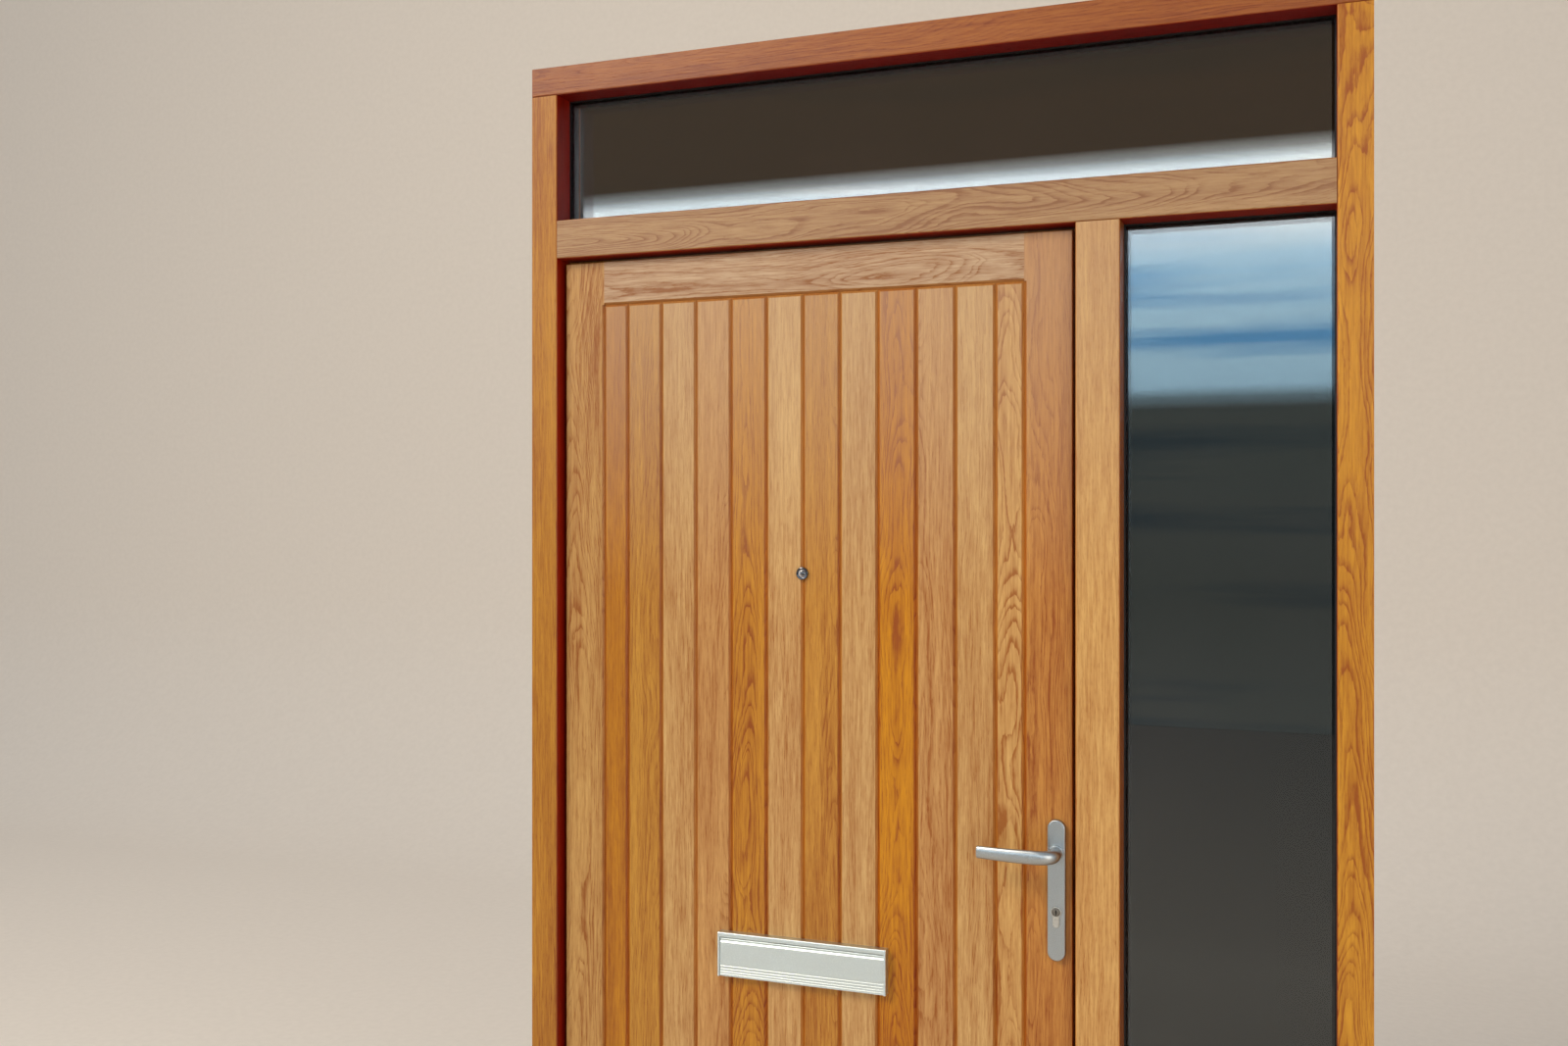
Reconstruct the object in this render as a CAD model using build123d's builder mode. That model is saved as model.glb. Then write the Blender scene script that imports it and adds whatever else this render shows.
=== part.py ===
from build123d import *
from math import atan, cos, degrees, radians, sin
import os

os.makedirs("parts", exist_ok=True)

# An oak entrance door with its frame, a fanlight above and a sidelight on the right.
# Millimetres. X runs to the right seen from outdoors, Y runs indoors, Z runs up.
# The origin is on the sill's underside, in the plane of the frame's outer face, at mid width.

# Clear sizes between the frame's stops
door_sight_width = 908.0
door_sight_height = 2022.0
side_sight_width = 309.0
fan_sight_height = 221.0

# Frame sections
frame_depth = 88.0
stop_depth = 46.0
rebate = 13.0
jamb_face = 50.0
mullion_face = 68.0
transom_face = 68.0
head_face = 50.0
frame_arris = 3.0

# Sill with its sloped nose, and the metal cap on its stop
sill_height = 65.0
sill_nose = 35.0
sill_nose_edge = 26.0
sill_slope_top = 34.0
sill_nose_round = 4.0
drip_width = 8.0
drip_depth = 5.0
drip_setback = 8.0
cap_thickness = 3.0
cap_width = 38.0

# Holes for the screws that fix the jambs to the wall
fixing_radius = 4.25
fixing_end_distance = 180.0
fixing_mid_spacing = 650.0

# Glazing: two panes round a spacer, between gaskets, held by beads on the inside
glass_cover = 10.0
pane_thickness = 4.0
glass_cavity = 16.0
spacer_width = 16.5
gasket_thickness = 3.0
gasket_lip = 2.5
inner_gasket_lip = 1.0
packer_length = 100.0
packer_end_distance = 60.0
bead_lip = 2.0
bead_bevel = 3.0

# Door leaf
leaf_setback = 20.0
leaf_edge_gap = 4.0
field_gap = 7.0
shoulder_gap = 4.0
leaf_arris = 2.0
stile_width = 92.0
top_rail_width = 92.0
bottom_rail_width = 200.0

# Tongued and grooved boards with a V joint
full_boards = 10
strip_width = 46.0
board_thickness = 20.0
vee_depth = 4.0
tongue_length = 6.0
tongue_thickness = 6.0
tongue_setback = 8.0
tongue_play = 0.15

# Weather board at the foot of the leaf
weather_height = 60.0
weather_projection = 28.0
weather_top = 8.0
weather_end_gap = 6.0
weather_toe = 16.0

# Compression gasket between the stop and the leaf
seal_width = 8.0
seal_inset = 1.5
seal_clearance = 0.3

# Butt hinges
hinge_height = 100.0
hinge_end_distance = 200.0
hinge_leaf_thickness = 2.5
hinge_leaf_depth = 30.0
hinge_gap = 0.6
knuckle_radius = 6.5
knuckle_count = 3
knuckle_gap = 0.3
hinge_clearance = 0.3
pin_radius = 3.0
pin_play = 0.05

# Handles: spindle and cylinder places, plates and levers
backset = 40.0
spindle_above_leaf_foot = 1053.0
cylinder_below_spindle = 92.0
plate_width = 28.0
plate_above_spindle = 51.0
plate_length = 220.0
plate_thickness = 9.0
plate_edge_bevel = 2.0
lever_projection = 59.0
lever_length = 117.0
lever_height = 22.0
lever_tip_height = 19.3
lever_thickness = 10.5
lever_tip_thickness = 9.0
lever_bend = 17.0
lever_bow = 7.0
lever_bend_steps = 4
lever_bar_steps = 2
lever_corner_share = 0.47
neck_diameter = 21.0
collar_radius = 12.0
collar_thickness = 4.0
collar_gap = 0.3
boss_radius = 9.0
boss_play = 0.08
boss_clearance = 1.0
spindle_size = 8.0
spindle_grip = 22.0

# Profile cylinder
cylinder_radius = 8.5
cylinder_leg_width = 10.0
cylinder_total_height = 33.0
cylinder_proud = 2.0
cylinder_fit = 0.3
plug_radius = 6.5
plug_play = 0.05
plug_recess = 0.3
keyway_width = 1.8
keyway_height = 7.5
keyway_rise = 3.0
keyway_depth = 25.0
cam_width = 9.8
cam_slot = 10.0
cam_radius = 15.0
cam_ring_radius = 7.4
cam_lobe_width = 8.0
cam_clearance = 1.0
knob_neck = 3.0
knob_thickness = 13.0
knob_width = 12.0
knob_height = 27.0

# Multipoint lock let into the lock stile
lock_plate_width = 16.0
lock_plate_thickness = 3.0
lock_plate_bottom = 380.0
lock_plate_length = 1400.0
case_gap = 3.5
case_depth = 52.0
case_above_spindle = 55.0
case_below_cylinder = 50.0
case_clearance = 0.3
follower_radius = 9.0
follower_play = 0.1
latch_height = 30.0
latch_thickness = 12.0
latch_length = 24.5
latch_throw = 12.0
latch_bevel = 9.5
deadbolt_height = 34.0
deadbolt_length = 36.0
deadbolt_throw = 20.0
deadbolt_drop = 50.0
bolt_play = 0.15
rod_width = 12.0
rod_thickness = 2.5
rod_gap = 0.3
rod_throw = 18.0
rod_end = 30.0
upper_rod_start = 31.0
lower_rod_start = 52.0
roller_end_distance = 200.0
roller_radius = 4.5
roller_proud = 7.0
roller_play = 0.3

# Keeps let into the mullion opposite the lock
keep_thickness = 3.0
keep_width = 28.0
keep_end = 24.0
keep_play = 2.0
keep_end_play = 2.5

# Letterplate, outdoors and indoors, with a lined slot through the leaf
letter_height_above_leaf_foot = 836.0
letter_width = 296.0
letter_height = 74.5
letter_depth = 15.0
letter_plate_thickness = 3.0
letter_hood = 8.0
letter_hood_round = 2.0
letter_cheek = 3.5
letter_slot_width = 240.0
letter_slot_height = 44.0
letter_sleeve_fit = 0.2
letter_sleeve_wall = 1.5
flap_thickness = 2.6
flap_setback = 1.6
flap_side_gap = 0.4
flap_barrel_radius = 2.6
flap_rod_radius = 1.4
flap_rod_play = 0.06
flap_barrel_drop = 3.6
flap_grooves = (5.0, 8.5, 13.0, 17.5)
flap_groove_depth = 0.6

# Door viewer
viewer_height_above_leaf_foot = 1481.5
viewer_radius = 6.9
viewer_play = 0.1
viewer_flange_radius = 10.5
viewer_flange = 1.2
viewer_crown = 3.2
viewer_lens_radius = 5.2

# Places worked out from the sizes above: the frame
opening_width = door_sight_width + mullion_face + side_sight_width
frame_width = opening_width + 2 * jamb_face
left_sight = -opening_width / 2
door_right_sight = left_sight + door_sight_width
side_left_sight = door_right_sight + mullion_face
right_sight = opening_width / 2
sill_floor = sill_height - rebate
door_top_sight = sill_height + door_sight_height
fan_bottom_sight = door_top_sight + transom_face
fan_top_sight = fan_bottom_sight + fan_sight_height
frame_top = fan_top_sight + head_face

# The leaf
leaf_left = left_sight - rebate + leaf_edge_gap
leaf_right = door_right_sight + rebate - leaf_edge_gap
leaf_foot = sill_floor + leaf_edge_gap
leaf_head = door_top_sight + rebate - leaf_edge_gap
leaf_centre = (leaf_left + leaf_right) / 2
shoulder = stop_depth + shoulder_gap
panel_left = leaf_left + stile_width
panel_right = leaf_right - stile_width
panel_bottom = leaf_foot + bottom_rail_width
panel_top = leaf_head - top_rail_width
board_width = (panel_right - panel_left - 2 * strip_width) / full_boards
core_front = leaf_setback + board_thickness
core_back = frame_depth - board_thickness
leaf_middle = (leaf_setback + frame_depth) / 2

# The hinges, on the inner face at the left edge
pin_x = leaf_left - leaf_edge_gap / 2
pin_y = frame_depth + knuckle_radius
hinge_heights = (
    leaf_foot + hinge_end_distance + hinge_height / 2,
    (leaf_foot + leaf_head) / 2,
    leaf_head - hinge_end_distance - hinge_height / 2,
)

# The lock, centred in the thickness of the leaf's shoulder
lock_y = (shoulder + frame_depth) / 2
spindle_x = leaf_right - backset
spindle_z = leaf_foot + spindle_above_leaf_foot
cylinder_z = spindle_z - cylinder_below_spindle
plate_front = leaf_setback - plate_thickness
plate_top = spindle_z + plate_above_spindle
plate_bottom = plate_top - plate_length
keep_face = door_right_sight + rebate
lock_plate_top = lock_plate_bottom + lock_plate_length
roller_heights = (lock_plate_bottom + roller_end_distance, lock_plate_top - roller_end_distance)
deadbolt_z = spindle_z - deadbolt_drop

# The letterplate and the viewer
letter_z = leaf_foot + letter_height_above_leaf_foot
viewer_z = leaf_foot + viewer_height_above_leaf_foot


def block(x, y, z, mode=Mode.ADD):
    """Box between two places on each axis."""
    with Locations(((x[0] + x[1]) / 2, (y[0] + y[1]) / 2, (z[0] + z[1]) / 2)):
        Box(abs(x[1] - x[0]), abs(y[1] - y[0]), abs(z[1] - z[0]), mode=mode)


def facing(y):
    """Plane parallel to the door's face at depth y, seen from outdoors."""
    return Plane.XZ.offset(-y)


def moulding(points, rounded, radius, plane, length):
    """Straight length of one outline, with some of its corners rounded."""
    with BuildPart(mode=Mode.PRIVATE) as piece:
        with BuildSketch(plane) as outline:
            Polygon(*points, align=None)
            if rounded:
                fillet([outline.vertices().sort_by_distance(c)[0] for c in rounded], radius)
        extrude(amount=length)
    return piece.part


def across(x, z, radius, y_from, y_to):
    """Round bar through the door, along Y."""
    with BuildPart(mode=Mode.PRIVATE) as piece:
        with BuildSketch(facing(y_from)):
            with Locations((x, z)):
                Circle(radius)
        extrude(amount=y_from - y_to)
    return piece.part


def indoors(part):
    """The same part turned over to the indoor side of the leaf."""
    return mirror(part, about=facing(leaf_middle), mode=Mode.PRIVATE)


def write_piece(built, name):
    """Label one finished piece and write its file."""
    built.part.label = name
    export_step(built.part, f"parts/{name}.step")


def write_set(pieces, name):
    """Write pieces that touch, yet are separate, into one file."""
    export_step(Compound(label=name, children=pieces), f"parts/{name}.step")


# Jambs: rebated posts that stand on the sill, under the head
def jamb(side):
    """One jamb, scribed over the sill's stop and under the head's."""
    outer = side * frame_width / 2
    sight = side * opening_width / 2
    wall = sight + side * rebate
    section = [
        (outer, 0),
        (sight, 0),
        (sight, stop_depth),
        (wall, stop_depth),
        (wall, frame_depth),
        (outer, frame_depth),
    ]
    foot = Plane.XY.offset(sill_floor)
    length = fan_top_sight + rebate - sill_floor
    with BuildPart(mode=Mode.PRIVATE) as piece:
        add(moulding(section, [(sight, 0)], frame_arris, foot, length))
        stop = (0, stop_depth)
        block((outer, sight), stop, (sill_floor, sill_height), Mode.SUBTRACT)
        block((outer, sight), stop, (fan_top_sight, fan_top_sight + rebate), Mode.SUBTRACT)
        fixing_y = (stop_depth + frame_depth) / 2
        for spacing in (frame_top - 2 * fixing_end_distance, fixing_mid_spacing):
            for z in ((frame_top - spacing) / 2, (frame_top + spacing) / 2):
                with Locations(Location(((outer + wall) / 2, fixing_y, z), (0, 90, 0))):
                    Cylinder(fixing_radius, abs(outer - wall), mode=Mode.SUBTRACT)
    return piece.part


def hinge_recess(side):
    """Shallow housings for the hinge plates, on the frame's side or the door's."""
    edge = leaf_left if side > 0 else left_sight - rebate
    depth = hinge_gap / 2 + hinge_leaf_thickness - leaf_edge_gap / 2
    front = frame_depth - hinge_leaf_depth
    half = hinge_height / 2
    with BuildPart(mode=Mode.PRIVATE) as piece:
        for z in hinge_heights:
            block((edge, edge + side * depth), (front, frame_depth), (z - half, z + half))
    return piece.part


with BuildPart() as left_jamb:
    add(jamb(-1))
    add(hinge_recess(-1), mode=Mode.SUBTRACT)
write_piece(left_jamb, "left_jamb")

with BuildPart() as right_jamb:
    add(jamb(1))
write_piece(right_jamb, "right_jamb")

# Head: runs across the top of both jambs
with BuildPart() as frame_head:
    head_section = [
        (0, fan_top_sight),
        (stop_depth, fan_top_sight),
        (stop_depth, fan_top_sight + rebate),
        (frame_depth, fan_top_sight + rebate),
        (frame_depth, frame_top),
        (0, frame_top),
    ]
    start = Plane.YZ.offset(-frame_width / 2)
    add(moulding(head_section, [(0, fan_top_sight)], frame_arris, start, frame_width))
write_piece(frame_head, "frame_head")

# Transom: fitted between the jambs, with a rebate below for the door and above for the glass
with BuildPart() as transom:
    transom_section = [
        (0, door_top_sight),
        (stop_depth, door_top_sight),
        (stop_depth, fan_bottom_sight),
        (0, fan_bottom_sight),
    ]
    corners = [(0, door_top_sight), (0, fan_bottom_sight)]
    add(moulding(transom_section, corners, frame_arris, Plane.YZ.offset(left_sight), opening_width))
    block(
        (left_sight - rebate, right_sight + rebate),
        (stop_depth, frame_depth),
        (door_top_sight + rebate, fan_bottom_sight - rebate),
    )
write_piece(transom, "transom")


# Keeps: let into the mullion, opposite the latch, the deadbolt and the two rollers
def keep_places():
    """Each keep plate's lowest and highest point, from the roller keeps to the middle one."""
    low, high = roller_heights
    reach = roller_radius + keep_play
    return (
        (low - reach - keep_end, low + rod_throw + reach + keep_end),
        (
            deadbolt_z - deadbolt_height / 2 - keep_end,
            spindle_z + latch_height / 2 + keep_end,
        ),
        (high - reach - keep_end, high + rod_throw + reach + keep_end),
    )


def keep_pockets(start, latch_depth, deadbolt_depth, roller_depth):
    """Space for the latch, deadbolt and rollers. The latch and rollers leave it indoors."""
    half = latch_thickness / 2 + keep_play
    roller_half = roller_radius + keep_play
    with BuildPart(mode=Mode.PRIVATE) as piece:
        latch_half = latch_height / 2 + keep_play
        block(
            (start, start + latch_depth),
            (lock_y - half, frame_depth),
            (spindle_z - latch_half, spindle_z + latch_half),
        )
        dead_half = deadbolt_height / 2 + keep_play
        block(
            (start, start + deadbolt_depth),
            (lock_y - half, lock_y + half),
            (deadbolt_z - dead_half, deadbolt_z + dead_half),
        )
        for z in roller_heights:
            block(
                (start, start + roller_depth),
                (lock_y - roller_half, frame_depth),
                (z - roller_half, z + roller_half),
            )
            block(
                (start, start + roller_depth),
                (lock_y - roller_half, lock_y + roller_half),
                (z - roller_half, z + rod_throw + roller_half),
            )
    return piece.part


with BuildPart() as lock_keeps:
    for low, high in keep_places():
        block(
            (keep_face, keep_face + keep_thickness),
            (frame_depth - keep_width, frame_depth),
            (low, high),
        )
    add(keep_pockets(keep_face, keep_thickness, keep_thickness, keep_thickness), mode=Mode.SUBTRACT)
write_piece(lock_keeps, "lock_keeps")

# Mullion: between the door and the sidelight, rebated on both sides
with BuildPart() as mullion:
    mullion_section = [
        (door_right_sight, 0),
        (side_left_sight, 0),
        (side_left_sight, stop_depth),
        (side_left_sight - rebate, stop_depth),
        (side_left_sight - rebate, frame_depth),
        (door_right_sight + rebate, frame_depth),
        (door_right_sight + rebate, stop_depth),
        (door_right_sight, stop_depth),
    ]
    corners = [(door_right_sight, 0), (side_left_sight, 0)]
    foot = Plane.XY.offset(sill_floor)
    length = door_top_sight + rebate - sill_floor
    add(moulding(mullion_section, corners, frame_arris, foot, length))
    face = (door_right_sight, side_left_sight)
    block(face, (0, stop_depth), (sill_floor, sill_height), Mode.SUBTRACT)
    block(face, (0, stop_depth), (door_top_sight, door_top_sight + rebate), Mode.SUBTRACT)
    for low, high in keep_places():
        block(
            (keep_face, keep_face + keep_thickness),
            (frame_depth - keep_width, frame_depth),
            (low, high),
            Mode.SUBTRACT,
        )
    reaches = [
        out - leaf_edge_gap + keep_end_play for out in (latch_throw, deadbolt_throw, roller_proud)
    ]
    add(keep_pockets(keep_face, *reaches), mode=Mode.SUBTRACT)
write_piece(mullion, "mullion")

# Sill: full width under the jambs, with a sloped nose and a drip groove below it
cap_front = stop_depth - cap_width
with BuildPart() as threshold:
    block(
        (left_sight, door_right_sight),
        (cap_front, stop_depth),
        (sill_height - cap_thickness, sill_height),
    )
    block(
        (left_sight, door_right_sight),
        (stop_depth - cap_thickness, stop_depth),
        (sill_floor, sill_height),
    )
write_piece(threshold, "threshold")

with BuildPart() as sill:
    sill_section = [
        (-sill_nose, 0),
        (frame_depth, 0),
        (frame_depth, sill_floor),
        (stop_depth, sill_floor),
        (stop_depth, sill_height),
        (0, sill_height),
        (0, sill_slope_top),
        (-sill_nose, sill_nose_edge),
    ]
    start = Plane.YZ.offset(-frame_width / 2)
    nose = [(-sill_nose, sill_nose_edge)]
    add(moulding(sill_section, nose, sill_nose_round, start, frame_width))
    drip = -sill_nose + drip_setback
    block(
        (-frame_width / 2, frame_width / 2),
        (drip, drip + drip_width),
        (0, drip_depth),
        Mode.SUBTRACT,
    )
    add(threshold.part, mode=Mode.SUBTRACT)
write_piece(sill, "sill")

# Compression gasket: one ring on the stops and the sill's cap, just clear of the leaf
with BuildPart() as door_gasket:
    with BuildSketch(facing(stop_depth)):
        centre = ((left_sight + door_right_sight) / 2, sill_height + door_sight_height / 2)
        outer_grow = 2 * (seal_inset + seal_width)
        with Locations(centre):
            Rectangle(door_sight_width + outer_grow, door_sight_height + outer_grow)
            Rectangle(
                door_sight_width + 2 * seal_inset,
                door_sight_height + 2 * seal_inset,
                mode=Mode.SUBTRACT,
            )
    extrude(amount=-(shoulder_gap - seal_clearance))
write_piece(door_gasket, "door_gasket")

# Glazing: each light is built outwards in, from its own clear opening
outer_glass = stop_depth + gasket_thickness
cavity_front = outer_glass + pane_thickness
inner_glass = cavity_front + glass_cavity
inner_gasket = inner_glass + pane_thickness
bead_front = inner_gasket + gasket_thickness
lights = {
    "fanlight": (left_sight, right_sight, fan_bottom_sight, fan_top_sight),
    "sidelight": (side_left_sight, right_sight, sill_height, door_top_sight),
}


def sheet(light, grow, y, thickness):
    """Flat sheet that reaches a given distance past a light's clear opening."""
    left, right, bottom, top = light
    with BuildPart(mode=Mode.PRIVATE) as piece:
        block((left - grow, right + grow), (y, y + thickness), (bottom - grow, top + grow))
    return piece.part


def ring(light, grow, shrink, y, thickness):
    """Flat ring round a light, from outside its clear opening to inside it."""
    with BuildPart(mode=Mode.PRIVATE) as piece:
        add(sheet(light, grow, y, thickness))
        add(sheet(light, -shrink, y, thickness), mode=Mode.SUBTRACT)
    return piece.part


for light_name, light in lights.items():
    with BuildPart() as panes:
        add(sheet(light, glass_cover, outer_glass, pane_thickness))
        add(sheet(light, glass_cover, inner_glass, pane_thickness))
    write_piece(panes, f"{light_name}_glass")

with BuildPart() as glass_spacers:
    for light in lights.values():
        add(ring(light, glass_cover, spacer_width - glass_cover, cavity_front, glass_cavity))
write_piece(glass_spacers, "glass_spacers")

with BuildPart() as glazing_gaskets:
    for light in lights.values():
        add(ring(light, glass_cover, gasket_lip, stop_depth, gasket_thickness))
        add(ring(light, glass_cover, inner_gasket_lip, inner_gasket, gasket_thickness))
write_piece(glazing_gaskets, "glazing_gaskets")


def bead(corner, way, length):
    """One mitred glazing bead with a bevelled inner edge, lying on a rebate's floor."""
    height = rebate + bead_lip
    with BuildPart(mode=Mode.PRIVATE) as piece:
        with BuildSketch(Plane(origin=corner, x_dir=way, z_dir=(0, -1, 0))):
            Polygon(
                (0, 0), (length, 0), (length - height, height), (height, height), align=None
            )
        extrude(amount=frame_depth - bead_front)
        indoor_edges = faces().sort_by(Axis.Y)[-1].edges().sort_by(SortBy.LENGTH)
        chamfer(indoor_edges[-2], bead_bevel)
    return piece.part


def beads(light):
    """Four beads round one light, mitred at the corners."""
    left, right = light[0] - rebate, light[1] + rebate
    bottom, top = light[2] - rebate, light[3] + rebate
    return (
        bead((left, frame_depth, bottom), (1, 0, 0), right - left),
        bead((right, frame_depth, bottom), (0, 0, 1), top - bottom),
        bead((right, frame_depth, top), (-1, 0, 0), right - left),
        bead((left, frame_depth, top), (0, 0, -1), top - bottom),
    )


write_set([stick for light in lights.values() for stick in beads(light)], "glazing_beads")

# Packers: two short blocks under each light's glass, on the rebate's floor
with BuildPart() as glazing_packers:
    for left, right, bottom, top in lights.values():
        for x in (left + packer_end_distance, right - packer_end_distance):
            block(
                (x - packer_length / 2, x + packer_length / 2),
                (outer_glass, inner_gasket),
                (bottom - rebate, bottom - glass_cover),
            )
write_piece(glazing_packers, "glazing_packers")

# Leaf: a raised field that passes between the stops, and a wider shoulder behind it
with BuildPart() as leaf_blank:
    block(
        (left_sight + field_gap, door_right_sight - field_gap),
        (leaf_setback, shoulder),
        (sill_height + field_gap, door_top_sight - field_gap),
    )
    fillet(faces().sort_by(Axis.Y)[0].edges(), leaf_arris)
    with BuildPart(mode=Mode.PRIVATE) as back_layer:
        block((leaf_left, leaf_right), (shoulder, frame_depth), (leaf_foot, leaf_head))
        fillet(faces().sort_by(Axis.Y)[-1].edges(), leaf_arris)
    add(back_layer.part)


def vee(edge, away, face, into):
    """Corner of a V joint as (place across the joint, depth) points."""
    return [(edge, face), (edge + away * vee_depth, face), (edge, face + into * vee_depth)]


def stile_vees(edge, away):
    """V joints down both faces of a stile, beside the boards."""
    with BuildPart(mode=Mode.PRIVATE) as piece:
        start = Plane.XY.offset(panel_bottom)
        for face, into in ((leaf_setback, 1), (frame_depth, -1)):
            add(moulding(vee(edge, away, face, into), [], 0, start, panel_top - panel_bottom))
    return piece.part


def rail_vees(edge, away):
    """V joints along both faces of a rail, at the boards' ends."""
    with BuildPart(mode=Mode.PRIVATE) as piece:
        start = Plane.YZ.offset(panel_left)
        for face, into in ((leaf_setback, 1), (frame_depth, -1)):
            points = [(depth, height) for height, depth in vee(edge, away, face, into)]
            add(moulding(points, [], 0, start, panel_right - panel_left))
    return piece.part


whole_depth = (leaf_setback, frame_depth)

with BuildPart() as hinge_stile:
    add(leaf_blank.part)
    block((leaf_left, panel_left), whole_depth, (leaf_foot, leaf_head), Mode.INTERSECT)
    add(stile_vees(panel_left, -1), mode=Mode.SUBTRACT)
    add(hinge_recess(1), mode=Mode.SUBTRACT)
write_piece(hinge_stile, "hinge_stile")

with BuildPart() as top_rail:
    add(leaf_blank.part)
    block((panel_left, panel_right), whole_depth, (panel_top, leaf_head), Mode.INTERSECT)
    add(rail_vees(panel_top, 1), mode=Mode.SUBTRACT)
write_piece(top_rail, "top_rail")

with BuildPart() as bottom_rail:
    add(leaf_blank.part)
    block((panel_left, panel_right), whole_depth, (leaf_foot, panel_bottom), Mode.INTERSECT)
    add(rail_vees(panel_bottom, -1), mode=Mode.SUBTRACT)
write_piece(bottom_rail, "bottom_rail")

# Holes through the boards and the core, for the letter slot and the viewer
def letter_slot(shrink, depths):
    """The letter slot between two depths, made smaller all round by one distance."""
    half_width = letter_slot_width / 2 - shrink
    half_height = letter_slot_height / 2 - shrink
    with BuildPart(mode=Mode.PRIVATE) as piece:
        block(
            (leaf_centre - half_width, leaf_centre + half_width),
            depths,
            (letter_z - half_height, letter_z + half_height),
        )
    return piece.part


with BuildPart(mode=Mode.PRIVATE) as leaf_holes:
    add(letter_slot(0, whole_depth))
    add(across(leaf_centre, viewer_z, viewer_radius + viewer_play, *whole_depth))


# Boards: narrow end strips and full boards, tongued into each other, on both faces
def board(left, right, face, into):
    """One board with bevelled edges, a groove on its left and a tongue on its right."""
    height = (panel_bottom, panel_top)
    with BuildPart(mode=Mode.PRIVATE) as piece:
        block((left, right), (face, face + into * board_thickness), height)
        front = piece.faces().sort_by(Axis.Y)[0 if into > 0 else -1]
        chamfer(front.edges(), vee_depth)
        tongue = face + into * tongue_setback
        groove = tongue - into * tongue_play
        if right < panel_right - tongue_length:
            block((right, right + tongue_length), (tongue, tongue + into * tongue_thickness), height)
        if left > panel_left + tongue_length:
            block(
                (left, left + tongue_length + tongue_play),
                (groove, groove + into * (tongue_thickness + 2 * tongue_play)),
                height,
                Mode.SUBTRACT,
            )
        add(leaf_holes.part, mode=Mode.SUBTRACT)
    return piece.part


board_edges = [panel_left, panel_left + strip_width]
for i in range(full_boards):
    board_edges.append(board_edges[-1] + board_width)
board_edges.append(panel_right)

for number, (left, right) in enumerate(zip(board_edges, board_edges[1:]), 1):
    with BuildPart() as outer_board:
        add(board(left, right, leaf_setback, 1))
    write_piece(outer_board, f"board_{number:02d}")

inner_set = [board(left, right, frame_depth, -1) for left, right in zip(board_edges, board_edges[1:])]
write_set(inner_set, "inner_boards")

with BuildPart() as insulating_core:
    block((panel_left, panel_right), (core_front, core_back), (panel_bottom, panel_top))
    add(leaf_holes.part, mode=Mode.SUBTRACT)
write_piece(insulating_core, "insulating_core")

# Weather board: a sloped moulding that throws rain clear of the sill's cap
with BuildPart() as weather_board:
    foot_z = sill_height + field_gap
    weather_section = [
        (leaf_setback, foot_z),
        (leaf_setback, foot_z + weather_height),
        (leaf_setback - weather_top, foot_z + weather_height),
        (leaf_setback - weather_projection, foot_z + weather_toe),
        (leaf_setback - weather_projection, foot_z),
    ]
    weather_left = left_sight + field_gap + weather_end_gap
    weather_right = door_right_sight - field_gap - weather_end_gap
    start = Plane.YZ.offset(weather_left)
    corner = [(leaf_setback - weather_top, foot_z + weather_height)]
    add(moulding(weather_section, corner, leaf_arris, start, weather_right - weather_left))
write_piece(weather_board, "weather_board")


# Hinges: plates let into the jamb and the leaf. The pin is fixed in the frame's knuckles
def hinge_plate(z, side):
    """Plate and knuckles of one half: the frame's has the odd knuckles, the leaf's the even."""
    near = pin_x + side * hinge_gap / 2
    far = near + side * hinge_leaf_thickness
    half = hinge_height / 2
    step = hinge_height / knuckle_count
    first = 0 if side < 0 else 1
    with BuildPart(mode=Mode.PRIVATE) as piece:
        front = frame_depth - hinge_leaf_depth
        block((near, far), (front, frame_depth - hinge_clearance), (z - half, z + half))
        for i in range(first, knuckle_count, 2):
            low = z - half + i * step + (knuckle_gap / 2 if i > 0 else 0)
            high = z - half + (i + 1) * step - (knuckle_gap / 2 if i < knuckle_count - 1 else 0)
            block((near, far), (frame_depth - hinge_clearance, pin_y), (low, high))
            with Locations((pin_x, pin_y, (low + high) / 2)):
                Cylinder(knuckle_radius, high - low)
    return piece.part


with BuildPart() as hinge_frame_leaves:
    for z in hinge_heights:
        add(hinge_plate(z, -1))
        with Locations((pin_x, pin_y, z)):
            Cylinder(pin_radius, hinge_height - hinge_height / knuckle_count)
write_piece(hinge_frame_leaves, "hinge_frame_leaves")

with BuildPart() as hinge_door_leaves:
    for z in hinge_heights:
        add(hinge_plate(z, 1))
        with Locations((pin_x, pin_y, z)):
            Cylinder(pin_radius + pin_play, hinge_height, mode=Mode.SUBTRACT)
write_piece(hinge_door_leaves, "hinge_door_leaves")

# Lock: the mortice in the stile is cut from the same sizes as what goes into it
plate_back = leaf_right - lock_plate_thickness
case_front = plate_back - case_gap
case_top = spindle_z + case_above_spindle
case_bottom = cylinder_z - case_below_cylinder
half_lock = lock_plate_width / 2
lock_depth = (lock_y - half_lock, lock_y + half_lock)


def euro_profile(grow, y_from, y_to):
    """Bar with the outline of a profile cylinder: a round body and a narrower leg."""
    leg_radius = cylinder_leg_width / 2
    leg_centre = cylinder_z + cylinder_radius - cylinder_total_height + leg_radius
    with BuildPart(mode=Mode.PRIVATE) as piece:
        with BuildSketch(facing(y_from)):
            with Locations((spindle_x, cylinder_z)):
                Circle(cylinder_radius + grow)
            with Locations((spindle_x, (cylinder_z + leg_centre) / 2)):
                Rectangle(cylinder_leg_width + 2 * grow, cylinder_z - leg_centre)
            with Locations((spindle_x, leg_centre)):
                Circle(leg_radius + grow)
        extrude(amount=y_from - y_to)
    return piece.part


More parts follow.
